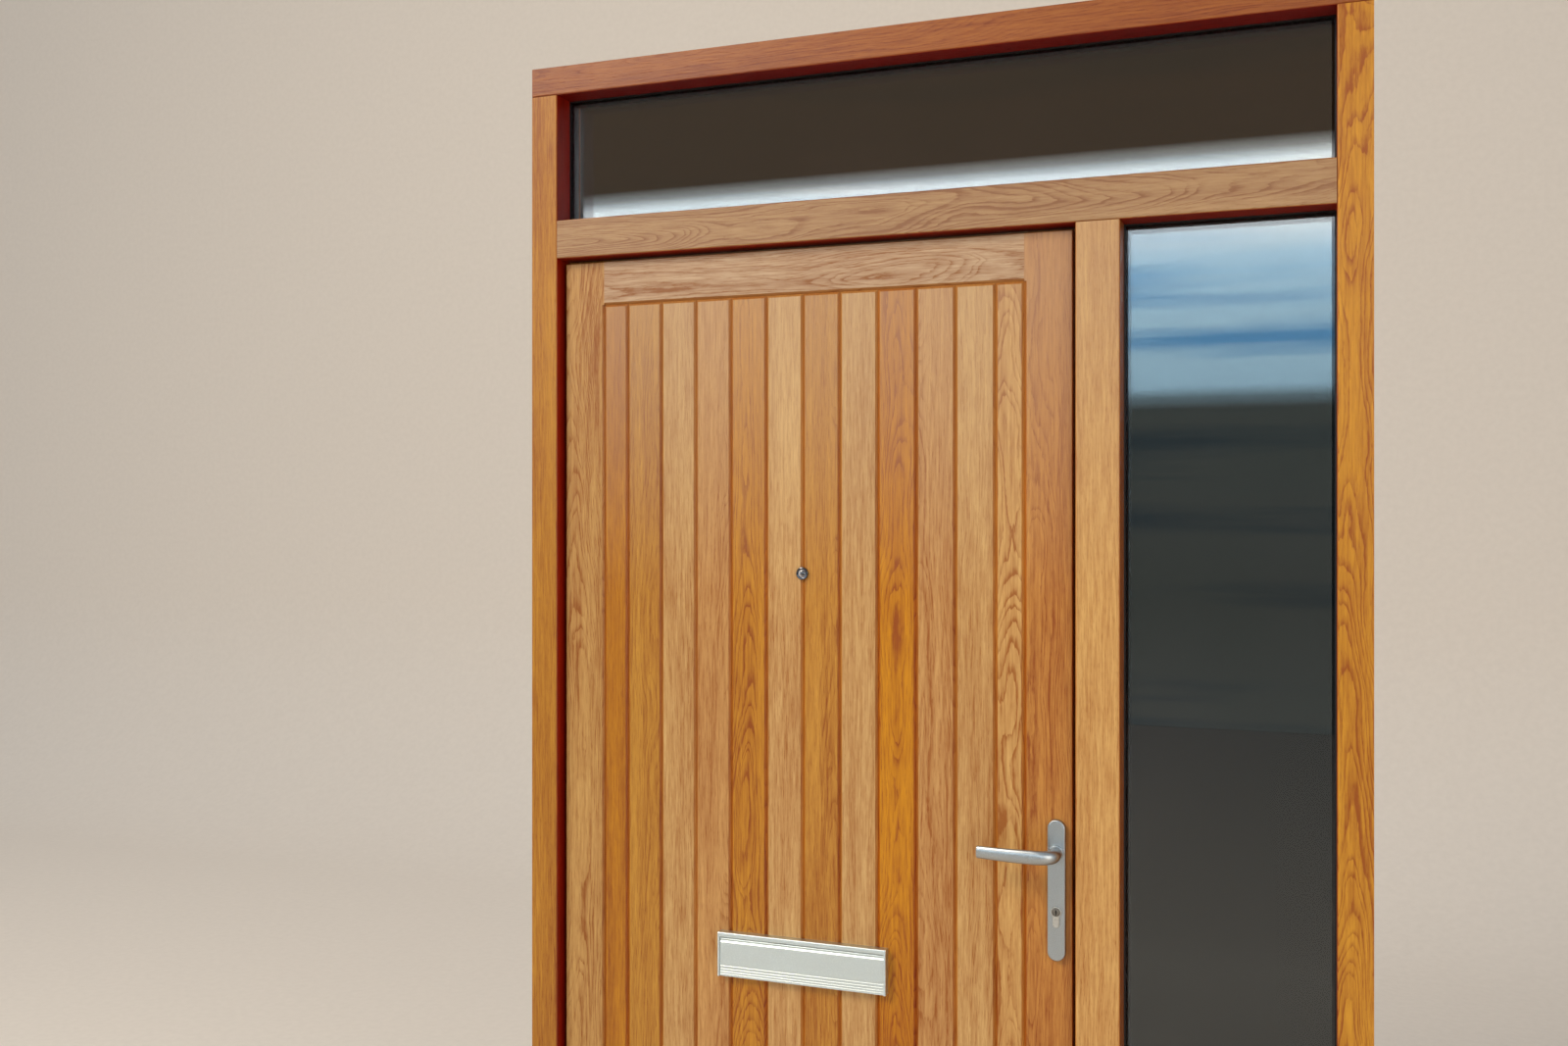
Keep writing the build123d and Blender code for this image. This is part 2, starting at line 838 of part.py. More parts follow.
with BuildPart() as lock_stile:
    add(leaf_blank.part)
    block((panel_right, leaf_right), whole_depth, (leaf_foot, leaf_head), Mode.INTERSECT)
    add(stile_vees(panel_right, 1), mode=Mode.SUBTRACT)
    block(
        (plate_back, leaf_right), lock_depth, (lock_plate_bottom, lock_plate_top), Mode.SUBTRACT
    )
    rod_back = plate_back - rod_gap - rod_thickness
    block(
        (rod_back - rod_gap, plate_back),
        (lock_y - rod_width / 2 - rod_gap, lock_y + rod_width / 2 + rod_gap),
        (roller_heights[0] - rod_end - rod_gap, roller_heights[1] + rod_end + rod_throw + rod_gap),
        Mode.SUBTRACT,
    )
    block(
        (case_front - case_depth - case_clearance, plate_back),
        (lock_depth[0] - case_clearance, lock_depth[1] + case_clearance),
        (case_bottom - case_clearance, case_top + case_clearance),
        Mode.SUBTRACT,
    )
    add(
        across(spindle_x, spindle_z, boss_radius + boss_clearance, *whole_depth), mode=Mode.SUBTRACT
    )
    add(euro_profile(cylinder_fit, *whole_depth), mode=Mode.SUBTRACT)
write_piece(lock_stile, "lock_stile")

half_latch = latch_thickness / 2
latch_y = (lock_y - half_latch, lock_y + half_latch)
latch_slot_y = (latch_y[0] - bolt_play, latch_y[1] + bolt_play)
latch_z = (spindle_z - latch_height / 2, spindle_z + latch_height / 2)
deadbolt_range = (deadbolt_z - deadbolt_height / 2, deadbolt_z + deadbolt_height / 2)
latch_tip = leaf_right + latch_throw
latch_back = latch_tip - latch_length

with BuildPart(mode=Mode.PRIVATE) as bolt_slots:
    block(
        (latch_back - latch_throw - bolt_play, leaf_right),
        latch_slot_y,
        (latch_z[0] - bolt_play, latch_z[1] + bolt_play),
    )
    block(
        (leaf_right - deadbolt_length - bolt_play, leaf_right),
        latch_slot_y,
        (deadbolt_range[0] - bolt_play, deadbolt_range[1] + bolt_play),
    )

with BuildPart() as lock_case:
    block((case_front - case_depth, case_front), lock_depth, (case_bottom, case_top))
    add(bolt_slots.part, mode=Mode.SUBTRACT)
    add(
        across(spindle_x, spindle_z, follower_radius + follower_play, *lock_depth),
        mode=Mode.SUBTRACT,
    )
    add(euro_profile(cylinder_fit, *lock_depth), mode=Mode.SUBTRACT)
    half_cam = cam_slot / 2 + cam_clearance
    add(
        across(
            spindle_x, cylinder_z, cam_radius + cam_clearance, lock_y - half_cam, lock_y + half_cam
        ),
        mode=Mode.SUBTRACT,
    )
write_piece(lock_case, "lock_case")

with BuildPart() as lock_faceplate:
    block((plate_back, leaf_right), lock_depth, (lock_plate_bottom, lock_plate_top))
    add(bolt_slots.part, mode=Mode.SUBTRACT)
    reach = roller_radius + roller_play
    for z in roller_heights:
        block(
            (plate_back, leaf_right),
            (lock_y - reach, lock_y + reach),
            (z - reach, z + rod_throw + reach),
            Mode.SUBTRACT,
        )
write_piece(lock_faceplate, "lock_faceplate")

with BuildPart() as latch_bolt:
    block((latch_back, latch_tip), latch_y, latch_z)
    with BuildSketch(Plane.XY.offset(latch_z[0])):
        Polygon(
            (latch_tip, latch_y[0]),
            (latch_tip, latch_y[0] + latch_bevel),
            (leaf_right + bolt_play, latch_y[0]),
            align=None,
        )
    extrude(amount=latch_height, mode=Mode.SUBTRACT)
write_piece(latch_bolt, "latch_bolt")

with BuildPart() as deadbolt:
    block((leaf_right - deadbolt_length, leaf_right), latch_y, deadbolt_range)
write_piece(deadbolt, "deadbolt")

with BuildPart() as locking_rods:
    rod_front = plate_back - rod_gap
    low, high = roller_heights
    for ends in (
        (low - rod_end, cylinder_z - lower_rod_start),
        (spindle_z + upper_rod_start, high + rod_end),
    ):
        block(
            (rod_front - rod_thickness, rod_front),
            (lock_y - rod_width / 2, lock_y + rod_width / 2),
            ends,
        )
    for z in roller_heights:
        length = leaf_right + roller_proud - rod_front
        with Locations(Location((rod_front + length / 2, lock_y, z), (0, 90, 0))):
            Cylinder(roller_radius, length)
write_piece(locking_rods, "locking_rods")

# Follower: the hub in the lock case that the spindle turns
with BuildPart() as latch_follower:
    add(across(spindle_x, spindle_z, follower_radius, *lock_depth))
    half_spindle = spindle_size / 2
    spindle_square = (
        (spindle_x - half_spindle, spindle_x + half_spindle),
        (spindle_z - half_spindle, spindle_z + half_spindle),
    )
    block(spindle_square[0], lock_depth, spindle_square[1], Mode.SUBTRACT)
write_piece(latch_follower, "latch_follower")

lever_face = plate_front - collar_gap
spindle_ends = (lever_face - spindle_grip, 2 * leaf_middle - lever_face + spindle_grip)
with BuildPart() as spindle:
    block(spindle_square[0], spindle_ends, spindle_square[1])
write_piece(spindle, "spindle")


# Handle plates: long and narrow with round ends, bored for the lever and the cylinder
def handle_plate():
    """The outdoor plate."""
    with BuildPart(mode=Mode.PRIVATE) as piece:
        with BuildSketch(facing(leaf_setback)):
            with Locations((spindle_x, (plate_top + plate_bottom) / 2)):
                SlotOverall(plate_length, plate_width, rotation=90)
        extrude(amount=plate_thickness)
        chamfer(piece.faces().sort_by(Axis.Y)[0].edges(), plate_edge_bevel)
        add(
            across(spindle_x, spindle_z, boss_radius + boss_play, plate_front, leaf_setback),
            mode=Mode.SUBTRACT,
        )
        add(euro_profile(cylinder_fit, plate_front, leaf_setback), mode=Mode.SUBTRACT)
    return piece.part


with BuildPart() as outer_backplate:
    add(handle_plate())
write_piece(outer_backplate, "outer_backplate")

with BuildPart() as inner_backplate:
    add(indoors(handle_plate()))
write_piece(inner_backplate, "inner_backplate")

# Levers: one smooth bar that leaves the plate as a round neck and turns towards the hinges
lever_middle = leaf_setback - lever_projection + lever_thickness / 2
bend_x = spindle_x - lever_bend
bend_y = lever_middle + lever_bend
lever_tip_x = spindle_x - lever_length


def lever_stations():
    """Cross-sections along the lever as (x, y, turn in degrees, height, thickness)."""
    stations = [(spindle_x, lever_face, 0.0, neck_diameter, neck_diameter)]
    for i in range(lever_bend_steps + 1):
        share = i / lever_bend_steps
        turn = 90 * share
        stations.append(
            (
                bend_x + lever_bend * cos(radians(turn)),
                bend_y - lever_bend * sin(radians(turn)),
                turn,
                neck_diameter + share * (lever_height - neck_diameter),
                neck_diameter + share * (lever_thickness - neck_diameter),
            )
        )
    bar_length = bend_x - lever_tip_x
    for i in range(1, lever_bar_steps + 1):
        share = i / lever_bar_steps
        slope = 2 * lever_bow * share / bar_length
        stations.append(
            (
                bend_x - share * bar_length,
                lever_middle + lever_bow * share**2,
                90 + degrees(atan(slope)),
                lever_height + share * (lever_tip_height - lever_height),
                lever_thickness + share * (lever_tip_thickness - lever_thickness),
            )
        )
    return stations


with BuildPart() as outer_lever:
    for x, y, turn, height, thickness in lever_stations():
        way = (-sin(radians(turn)), -cos(radians(turn)), 0)
        with BuildSketch(Plane(origin=(x, y, spindle_z), x_dir=(0, 0, 1), z_dir=way)):
            RectangleRounded(height, thickness, lever_corner_share * thickness)
    loft(ruled=True)
    with BuildSketch(facing(lever_face)):
        with Locations((spindle_x, spindle_z)):
            Circle(collar_radius)
    extrude(amount=collar_thickness)
    add(across(spindle_x, spindle_z, boss_radius, lever_face, leaf_setback))
    block(spindle_square[0], (spindle_ends[0], leaf_setback), spindle_square[1], Mode.SUBTRACT)
write_piece(outer_lever, "outer_lever")

with BuildPart() as inner_lever:
    add(indoors(outer_lever.part))
write_piece(inner_lever, "inner_lever")

# Cylinder: body through both plates, with a gap at mid length where the cam turns
cylinder_ends = (plate_front - cylinder_proud, 2 * leaf_middle - plate_front + cylinder_proud)
cam_front = lock_y - cam_slot / 2
cam_back = lock_y + cam_slot / 2
with BuildPart() as lock_cylinder:
    add(euro_profile(0, *cylinder_ends))
    add(across(spindle_x, cylinder_z, plug_radius + plug_play, *cylinder_ends), mode=Mode.SUBTRACT)
    block(
        (spindle_x - cylinder_radius, spindle_x + cylinder_radius),
        (cam_front, cam_back),
        (cylinder_z - cam_radius - cam_clearance, cylinder_z + cylinder_radius),
        Mode.SUBTRACT,
    )
write_piece(lock_cylinder, "lock_cylinder")

cam_gap = (cam_slot - cam_width) / 2
with BuildPart() as key_plug:
    plug_face = cylinder_ends[0] + plug_recess
    add(across(spindle_x, cylinder_z, plug_radius, plug_face, cam_front + cam_gap))
    block(
        (spindle_x - keyway_width / 2, spindle_x + keyway_width / 2),
        (plug_face, plug_face + keyway_depth),
        (cylinder_z + keyway_rise - keyway_height, cylinder_z + keyway_rise),
        Mode.SUBTRACT,
    )
write_piece(key_plug, "key_plug")

with BuildPart() as lock_cam:
    with BuildSketch(facing(cam_front + cam_gap)):
        with Locations((spindle_x, cylinder_z)):
            Circle(cam_ring_radius)
        lobe = cam_radius - cam_lobe_width / 2
        with Locations((spindle_x, cylinder_z - lobe / 2)):
            Rectangle(cam_lobe_width, lobe)
        with Locations((spindle_x, cylinder_z - lobe)):
            Circle(cam_lobe_width / 2)
    extrude(amount=-cam_width)
write_piece(lock_cam, "lock_cam")

with BuildPart() as thumbturn:
    knob_start = cylinder_ends[1] + knob_neck
    add(across(spindle_x, cylinder_z, plug_radius, cam_back - cam_gap, knob_start))
    with BuildSketch(facing(knob_start)):
        with Locations((spindle_x, cylinder_z)):
            SlotOverall(knob_height, knob_width, rotation=90)
    extrude(amount=-knob_thickness)
write_piece(thumbturn, "thumbturn")

# Letterplate: a frame with a hood and end cheeks, and a flap hung on a rod under the hood
letter_left = leaf_centre - letter_width / 2
letter_right = leaf_centre + letter_width / 2
letter_bottom = letter_z - letter_height / 2
letter_top = letter_z + letter_height / 2
letter_front = leaf_setback - letter_depth
letter_plate_front = leaf_setback - letter_plate_thickness
hood_bottom = letter_top - letter_hood
flap_front = letter_front + flap_setback
rod_y = flap_front + flap_barrel_radius
rod_z = hood_bottom - flap_barrel_drop


def rod(radius, ends):
    """Round bar along the flap's pivot."""
    with BuildPart(mode=Mode.PRIVATE) as piece:
        with BuildSketch(Plane.YZ.offset(ends[0])):
            with Locations((rod_y, rod_z)):
                Circle(radius)
        extrude(amount=ends[1] - ends[0])
    return piece.part


rod_ends = (letter_left + letter_cheek / 2, letter_right - letter_cheek / 2)

with BuildPart() as letterplate:
    block((letter_left, letter_right), (letter_plate_front, leaf_setback), (letter_bottom, letter_top))
    block((letter_left, letter_right), (letter_front, leaf_setback), (hood_bottom, letter_top))
    for cheek in (letter_left, letter_right - letter_cheek):
        block((cheek, cheek + letter_cheek), (letter_front, leaf_setback), (letter_bottom, letter_top))
    hood_edges = letterplate.edges().filter_by(Axis.X).group_by(Axis.Y)[0]
    fillet(hood_edges.group_by(Axis.Z)[-1], letter_hood_round)
    add(letter_slot(0, (letter_front, leaf_setback)), mode=Mode.SUBTRACT)
    add(rod(flap_rod_radius, rod_ends), mode=Mode.SUBTRACT)
write_piece(letterplate, "letterplate")

with BuildPart() as inner_letterplate:
    add(indoors(letterplate.part))
write_piece(inner_letterplate, "inner_letterplate")

with BuildPart() as flap_rods:
    add(rod(flap_rod_radius, rod_ends))
    add(indoors(rod(flap_rod_radius, rod_ends)))
write_piece(flap_rods, "flap_rods")

# Sleeve: a thin lining round the slot, between the two letterplates
with BuildPart() as letter_sleeve:
    add(letter_slot(letter_sleeve_fit, whole_depth))
    add(letter_slot(letter_sleeve_fit + letter_sleeve_wall, whole_depth), mode=Mode.SUBTRACT)
write_piece(letter_sleeve, "letter_sleeve")

# Flap: one extruded plate with a barrel for its rod and fine grooves near its foot
flap_ends = (
    letter_left + letter_cheek + flap_side_gap,
    letter_right - letter_cheek - flap_side_gap,
)
with BuildPart() as letter_flap:
    block(flap_ends, (flap_front, flap_front + flap_thickness), (letter_bottom + flap_side_gap, rod_z))
    add(rod(flap_barrel_radius, flap_ends))
    add(rod(flap_rod_radius + flap_rod_play, flap_ends), mode=Mode.SUBTRACT)
    groove_heights = [letter_bottom + rise for rise in flap_grooves]
    groove_heights.append(rod_z - flap_barrel_radius - flap_groove_depth)
    for z in groove_heights:
        with BuildSketch(Plane.YZ.offset(flap_ends[0])):
            with Locations((flap_front, z)):
                Polygon(
                    (0, -flap_groove_depth),
                    (flap_groove_depth, 0),
                    (0, flap_groove_depth),
                    align=None,
                )
    extrude(amount=flap_ends[1] - flap_ends[0], mode=Mode.SUBTRACT)
write_piece(letter_flap, "letter_flap")

with BuildPart() as inner_letter_flap:
    add(indoors(letter_flap.part))
write_piece(inner_letter_flap, "inner_letter_flap")


# Viewer: a turned barrel through the leaf with a crown outdoors, and a screwed flange indoors
with BuildPart() as door_viewer:
    viewer_rim = leaf_setback - viewer_flange
    with BuildSketch(Plane.XY.offset(viewer_z)):
        Polygon(
            (leaf_centre, viewer_rim - viewer_crown),
            (leaf_centre + viewer_lens_radius, viewer_rim - viewer_crown),
            (leaf_centre + viewer_flange_radius, viewer_rim),
            (leaf_centre + viewer_flange_radius, leaf_setback),
            (leaf_centre + viewer_radius, leaf_setback),
            (leaf_centre + viewer_radius, frame_depth),
            (leaf_centre + viewer_flange_radius, frame_depth),
            (leaf_centre + viewer_flange_radius, frame_depth + viewer_flange),
            (leaf_centre, frame_depth + viewer_flange),
            align=None,
        )
    revolve(axis=Axis((leaf_centre, 0, viewer_z), (0, 1, 0)))
write_piece(door_viewer, "door_viewer")
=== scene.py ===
import math

import bmesh
import bpy
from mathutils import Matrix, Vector


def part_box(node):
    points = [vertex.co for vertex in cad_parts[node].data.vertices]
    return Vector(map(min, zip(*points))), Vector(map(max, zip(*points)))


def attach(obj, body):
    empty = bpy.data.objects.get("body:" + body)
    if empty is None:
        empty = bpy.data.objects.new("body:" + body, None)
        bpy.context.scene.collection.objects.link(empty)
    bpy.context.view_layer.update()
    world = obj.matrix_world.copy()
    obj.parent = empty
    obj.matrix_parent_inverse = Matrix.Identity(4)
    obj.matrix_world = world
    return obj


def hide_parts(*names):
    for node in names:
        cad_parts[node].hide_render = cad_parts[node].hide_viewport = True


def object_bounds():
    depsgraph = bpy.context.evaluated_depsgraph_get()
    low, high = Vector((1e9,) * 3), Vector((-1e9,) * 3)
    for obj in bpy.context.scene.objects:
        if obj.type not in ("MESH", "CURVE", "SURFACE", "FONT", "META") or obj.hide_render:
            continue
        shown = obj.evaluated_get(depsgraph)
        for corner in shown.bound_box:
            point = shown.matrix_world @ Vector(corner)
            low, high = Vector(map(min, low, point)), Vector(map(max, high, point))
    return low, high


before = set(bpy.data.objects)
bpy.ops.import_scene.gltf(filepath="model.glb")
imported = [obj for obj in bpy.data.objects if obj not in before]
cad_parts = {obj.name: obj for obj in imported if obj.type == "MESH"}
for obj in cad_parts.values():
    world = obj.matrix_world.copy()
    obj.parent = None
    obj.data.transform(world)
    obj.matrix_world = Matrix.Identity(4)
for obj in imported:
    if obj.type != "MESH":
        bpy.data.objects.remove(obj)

cad_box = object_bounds()

# Camera: at eye height, 2.2 m out and a little right of the handle, level and turned to the left
# Its lens and a small shift frame the door as the photo does
scene = bpy.context.scene
scene.view_settings.view_transform = "Standard"
camera_data = bpy.data.cameras.new("camera")
camera = bpy.data.objects.new("camera", camera_data)
scene.collection.objects.link(camera)
camera.location = (0.624, -2.23, 1.638)
camera.rotation_euler = (math.radians(90), 0, math.radians(20.6))
camera_data.sensor_width = 36
camera_data.lens = 32.94
camera_data.shift_y = -0.00625
camera_data.clip_start = 0.05
scene.camera = camera


# Studio: a sheet of pale paper that lies as the floor and turns up behind the door
# Matt paper gives the eye no gloss, only the door's soft shadow
# Seen through the glass it is dark, as the unlit room behind a front door is
def linear(code):
    """Linear colour with alpha from an sRGB hex code."""
    parts = [int(code[i:i + 2], 16) / 255 for i in (0, 2, 4)]
    return tuple(c / 12.92 if c <= 0.04045 else ((c + 0.055) / 1.055) ** 2.4 for c in parts) + (1,)


def node(tree, kind, *values, stops=(), **settings):
    """Adds a node. Values fill its sockets in order; settings are its properties or named sockets."""
    made = tree.nodes.new("ShaderNode" + kind)
    named = {name: value for name, value in settings.items() if not hasattr(made, name)}
    for name in settings.keys() - named.keys():
        setattr(made, name, settings[name])
    filled = list(zip([socket for socket in made.inputs if socket.enabled], values))
    filled += [(made.inputs[name.replace("_", " ")], value) for name, value in named.items()]
    for socket, value in filled:
        if isinstance(value, bpy.types.Node):
            value = value.outputs[0]
        if isinstance(value, bpy.types.NodeSocket):
            tree.links.new(value, socket)
        else:
            socket.default_value = linear(value) if isinstance(value, str) else value
    while stops and len(made.color_ramp.elements) < len(stops):
        made.color_ramp.elements.new(1.0)
    for i, (place, shade) in enumerate(stops):
        made.color_ramp.elements[i].position = place
        made.color_ramp.elements[i].color = (
            linear(shade) if isinstance(shade, str) else (shade, shade, shade, 1)
        )
    return made


def material(name, **values):
    """A node material, its tree and its principled shader with the given values."""
    made = bpy.data.materials.new(name)
    made.use_nodes = True
    shader = made.node_tree.nodes["Principled BSDF"]
    for socket, value in values.items():
        value = linear(value) if isinstance(value, str) else value
        shader.inputs[socket.replace("_", " ")].default_value = value
    return made, made.node_tree, shader


# A unit of noise holds a pale and a dark mark, so half a metre over a mark's width in mm scales it
half_metre, fibre_clump = 500, 12.5
paper, tree, shader = material("pale_paper", Roughness=0.9)
places = node(tree, "TexCoord").outputs["Object"]
fibres = node(tree, "TexNoise", places, Scale=half_metre / fibre_clump, Detail=3)
tone = node(tree, "ValToRGB", fibres, stops=((0.3, "ece5dd"), (0.7, "f0e9e1")))
through = node(tree, "LightPath").outputs["Is Transmission Ray"]
tone = node(tree, "Mix", through, tone, "1d1b19", data_type="RGBA")
tree.links.new(tone.outputs[2], shader.inputs["Base Color"])

floor_front, floor_back = -9.0, 3.2
paper_turn, paper_height, half_paper = 1.2, 9.0, 12.0
turn_steps = 12
profile = [(floor_front, 0.0)]
for i in range(turn_steps + 1):
    angle = math.pi / 2 * i / turn_steps
    profile.append(
        (floor_back + paper_turn * math.sin(angle), paper_turn - paper_turn * math.cos(angle))
    )
profile.append((floor_back + paper_turn, paper_height))
points = [(x, y, z) for y, z in profile for x in (-half_paper, half_paper)]
faces = [(2 * i, 2 * i + 1, 2 * i + 3, 2 * i + 2) for i in range(len(profile) - 1)]
data = bpy.data.meshes.new("backdrop")
data.from_pydata(points, [], faces)
data.polygons.foreach_set("use_smooth", [True] * len(faces))
data.materials.append(paper)
backdrop = bpy.data.objects.new("backdrop", data)
scene.collection.objects.link(backdrop)

# Light: a soft sky and two softboxes, the larger share from the left and above
# Glass and metal mirror a bright cloudy strip above the horizon, with dark ground and dark above
sky_light, mirrored_light = 0.53, 6.5
haze_low, haze_high = -0.12, 0.5
cloud_stretch = (2.5, 2.5, 45.0)
clouds_end, clear_start, faint_clouds = 0.16, 0.20, 0.3
world = bpy.data.worlds.new("studio")
scene.world = world
world.use_nodes = True
tree = world.node_tree
tree.nodes.clear()
places = node(tree, "TexCoord").outputs["Generated"]
way = node(tree, "SeparateXYZ", places)
rise = node(tree, "MapRange", way.outputs["Z"], haze_low, haze_high)
soft = node(tree, "ValToRGB", rise, stops=((0.0, "cfc9c1"), (1.0, "e6eaee")))
layers = node(tree, "VectorMath", places, cloud_stretch, operation="MULTIPLY")
clouds = node(tree, "TexNoise", layers, Scale=1.0, Detail=5.0)
clouds = node(tree, "ValToRGB", clouds, stops=((0.34, "86b6da"), (0.5, "f6f9fb")))
ahead = node(tree, "Math", way.outputs["Y"], operation="ABSOLUTE")
slope = node(tree, "Math", way.outputs["Z"], ahead, operation="DIVIDE")
# Strips by slope: 0 is 45 degrees down, 0.5 is the horizon and 1 is 45 degrees up
strips = node(
    tree, "ValToRGB", node(tree, "MapRange", slope, -1.0, 1.0),
    stops=(
        (0.0, "545351"), (0.40, "3d3d3b"), (0.47, "2a2d2b"), (0.5385, "303433"),
        (0.5405, "8fabbd"), (0.56, "9ab6c8"), (0.585, "adcbe1"), (0.600, "ffffff"),
        (0.6208, "ffffff"), (0.6212, "37271a"), (0.72, "37271a"), (0.78, "4b4e51"),
        (1.0, "4f5255"),
    ),
)
cover = node(tree, "MapRange", slope, clouds_end, clear_start, 1.0, faint_clouds)
mirrored = node(tree, "Mix", cover, strips, clouds, data_type="RGBA", blend_type="MULTIPLY")
path = node(tree, "LightPath")
seen = node(
    tree, "Math", path.outputs["Is Glossy Ray"], path.outputs["Is Transmission Ray"],
    operation="MAXIMUM",
)
sky = node(
    tree, "MixShader", seen,
    node(tree, "Background", soft, sky_light),
    node(tree, "Background", mirrored.outputs[2], mirrored_light),
)
surface = tree.nodes.new("ShaderNodeOutputWorld")
tree.links.new(sky.outputs[0], surface.inputs["Surface"])

for name, place, aim, size, power, colour in (
    ("key_light", (-3.4, -4.2, 5.6), (-0.1, 0, 1.3), 2.4, 282, "fff2de"),
    ("fill_light", (3.4, -3.2, 1.5), (0.1, 0, 1.0), 2.4, 42, "fff1e0"),
):
    data = bpy.data.lights.new(name, "AREA")
    data.size = size
    data.energy = power
    data.color = linear(colour)[:3]
    lamp = bpy.data.objects.new(name, data)
    lamp.location = place
    lamp.visible_transmission = False
    lamp.rotation_euler = (Vector(aim) - Vector(place)).to_track_quat("-Z", "Y").to_euler()
    scene.collection.objects.link(lamp)

# Frame: jambs, head, transom, mullion, sill and glazing beads of European oak
# The timber is planed, sanded and sprayed with a clear satin lacquer that deepens its honey tone
# Rings are about 2.4 mm wide; pores are drawn 0.8 mm wide, coarser than real, so that they show
ring_width, uneven_rings = 0.0024, 2.4
lacquer_roughness, pore_roughness = 0.36, 0.16
oak = bpy.data.node_groups.new("oak_grain", "ShaderNodeTree")
for name, kind in (
    ("Grain", "Vector"), ("Seed", "Vector"), ("Pith", "Vector"), ("Lean", "Vector"),
    ("Figure", "Float"), ("Tone", "Color"),
):
    oak.interface.new_socket(name, in_out="INPUT", socket_type="NodeSocket" + kind)
for name, kind in (("Color", "Color"), ("Height", "Float"), ("Roughness", "Float")):
    oak.interface.new_socket(name, in_out="OUTPUT", socket_type="NodeSocket" + kind)
given = oak.nodes.new("NodeGroupInput").outputs


def streaks(tree, place, across, along, detail=2.0):
    """Noise about zero, whose streaks have a real width and length in millimetres."""
    stretch = (half_metre / across, half_metre / across, half_metre / along)
    placed = node(tree, "VectorMath", place, stretch, operation="MULTIPLY")
    return node(tree, "TexNoise", placed, Scale=1.0, Detail=detail, normalize=False)


seeded = node(oak, "VectorMath", given["Grain"], given["Seed"], operation="ADD")
local = node(oak, "VectorMath", given["Grain"], given["Pith"], operation="SUBTRACT")
reach = node(oak, "SeparateXYZ", local).outputs["Z"]
drift = node(oak, "VectorMath", given["Lean"], operation="SCALE", Scale=reach)
bent = node(oak, "VectorMath", local, drift, operation="SUBTRACT")
for across, along, amount in ((80, 270, 0.019), (14, 90, 0.0012), (3, 14, 0.0004)):
    wave = streaks(oak, seeded, across, along).outputs["Color"]
    bent = node(oak, "VectorMath", wave, (amount, amount, 0), bent, operation="MULTIPLY_ADD")
flat = node(oak, "VectorMath", bent, (1, 1, 0), operation="MULTIPLY")
radius = node(oak, "VectorMath", flat, operation="LENGTH").outputs["Value"]
rings = node(oak, "Math", radius, ring_width, operation="DIVIDE")
uneven = node(oak, "TexNoise", noise_dimensions="1D", W=rings, Scale=0.35, Detail=1.0)
rings = node(oak, "Math", uneven, uneven_rings, rings, operation="MULTIPLY_ADD")
season = node(oak, "Math", rings, operation="FRACT")
line = node(
    oak, "ValToRGB", season,
    stops=((0.0, 0.1), (0.05, 1.0), (0.2, 0.6), (0.45, 0.12), (0.9, 0.0), (1.0, 0.1)),
)
early = node(oak, "ValToRGB", season, stops=((0.0, 1.0), (0.35, 0.5), (0.6, 0.2), (1.0, 0.6)))
pores = node(oak, "ValToRGB", streaks(oak, seeded, 0.8, 7, 1), stops=((0.1, 0.0), (0.3, 1.0)))
pores = node(oak, "Math", pores, early, operation="MULTIPLY")
fibre = streaks(oak, seeded, 2.0, 30, 3)
patch = streaks(oak, seeded, 9, 260)
strength = node(oak, "Math", patch, 0.9, 0.75, operation="MULTIPLY_ADD")
strength = node(oak, "Math", strength, given["Figure"], operation="MULTIPLY")
shade = node(oak, "Math", line, strength, operation="MULTIPLY")
for pattern, weight in (
    (fibre, 0.55), (patch, 0.3), (streaks(oak, seeded, 90, 500), 0.4), (pores, 0.4),
):
    shade = node(oak, "Math", pattern, weight, shade, operation="MULTIPLY_ADD")
shade = node(oak, "Math", shade, 1.0, operation="MINIMUM")
dark = node(oak, "Mix", 1.0, given["Tone"], "cba06a", data_type="RGBA", blend_type="MULTIPLY")
mixed = node(
    oak, "Mix", shade, given["Tone"], dark.outputs[2], data_type="RGBA", clamp_factor=False
)
relief = node(oak, "Math", line, -0.25, operation="MULTIPLY")
for pattern, weight in ((pores, -1.0), (fibre, 0.12)):
    relief = node(oak, "Math", pattern, weight, relief, operation="MULTIPLY_ADD")
satin_gloss = node(oak, "Math", pores, pore_roughness, lacquer_roughness, operation="MULTIPLY_ADD")
result = oak.nodes.new("NodeGroupOutput")
for name, value in (
    ("Color", mixed.outputs[2]), ("Height", relief.outputs[0]),
    ("Roughness", satin_gloss.outputs[0]),
):
    oak.links.new(value, result.inputs[name])

# Each cut is the way a piece was sawn: the pith's distance across and behind its face, and how
# both change along it, all in metres. A crown cut shows arches, and a straight cut shows lines
cuts = {
    "crown": ((0.004, 0.052), (0.003, 0.026)),
    "side": ((0.030, 0.045), (0.008, 0.012)),
    "straight": ((0.120, 0.090), (0.003, 0.006)),
}
# The frame's outer sides and top lie in this skin of the set's box, where no painted shade of the
# reveals and joints is laid
outer_skin = 0.001
half_width = cad_box[1].x - outer_skin
top = cad_box[1].z - outer_skin
timber_arris = 0.0005
# Between these heights the oak takes more and more painted sheen, for the sky on its lacquer
sheen_starts_at, sheen_full_at = 1.5, 2.0
seed_step = 3.7


def dress(name, material, bevel=0.0):
    """Gives a CAD node its material and, where asked, softened edges."""
    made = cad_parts[name]
    made.data.materials.clear()
    made.data.materials.append(material)
    if bevel:
        merge = made.modifiers.new("merge_flats", "DECIMATE")
        merge.decimate_type = "DISSOLVE"
        merge.angle_limit = math.radians(1)
        edge = made.modifiers.new("soft_edges", "BEVEL")
        edge.width = bevel
        edge.segments = 2
        edge.limit_method = "ANGLE"
        edge.angle_limit = math.radians(30)
    return made


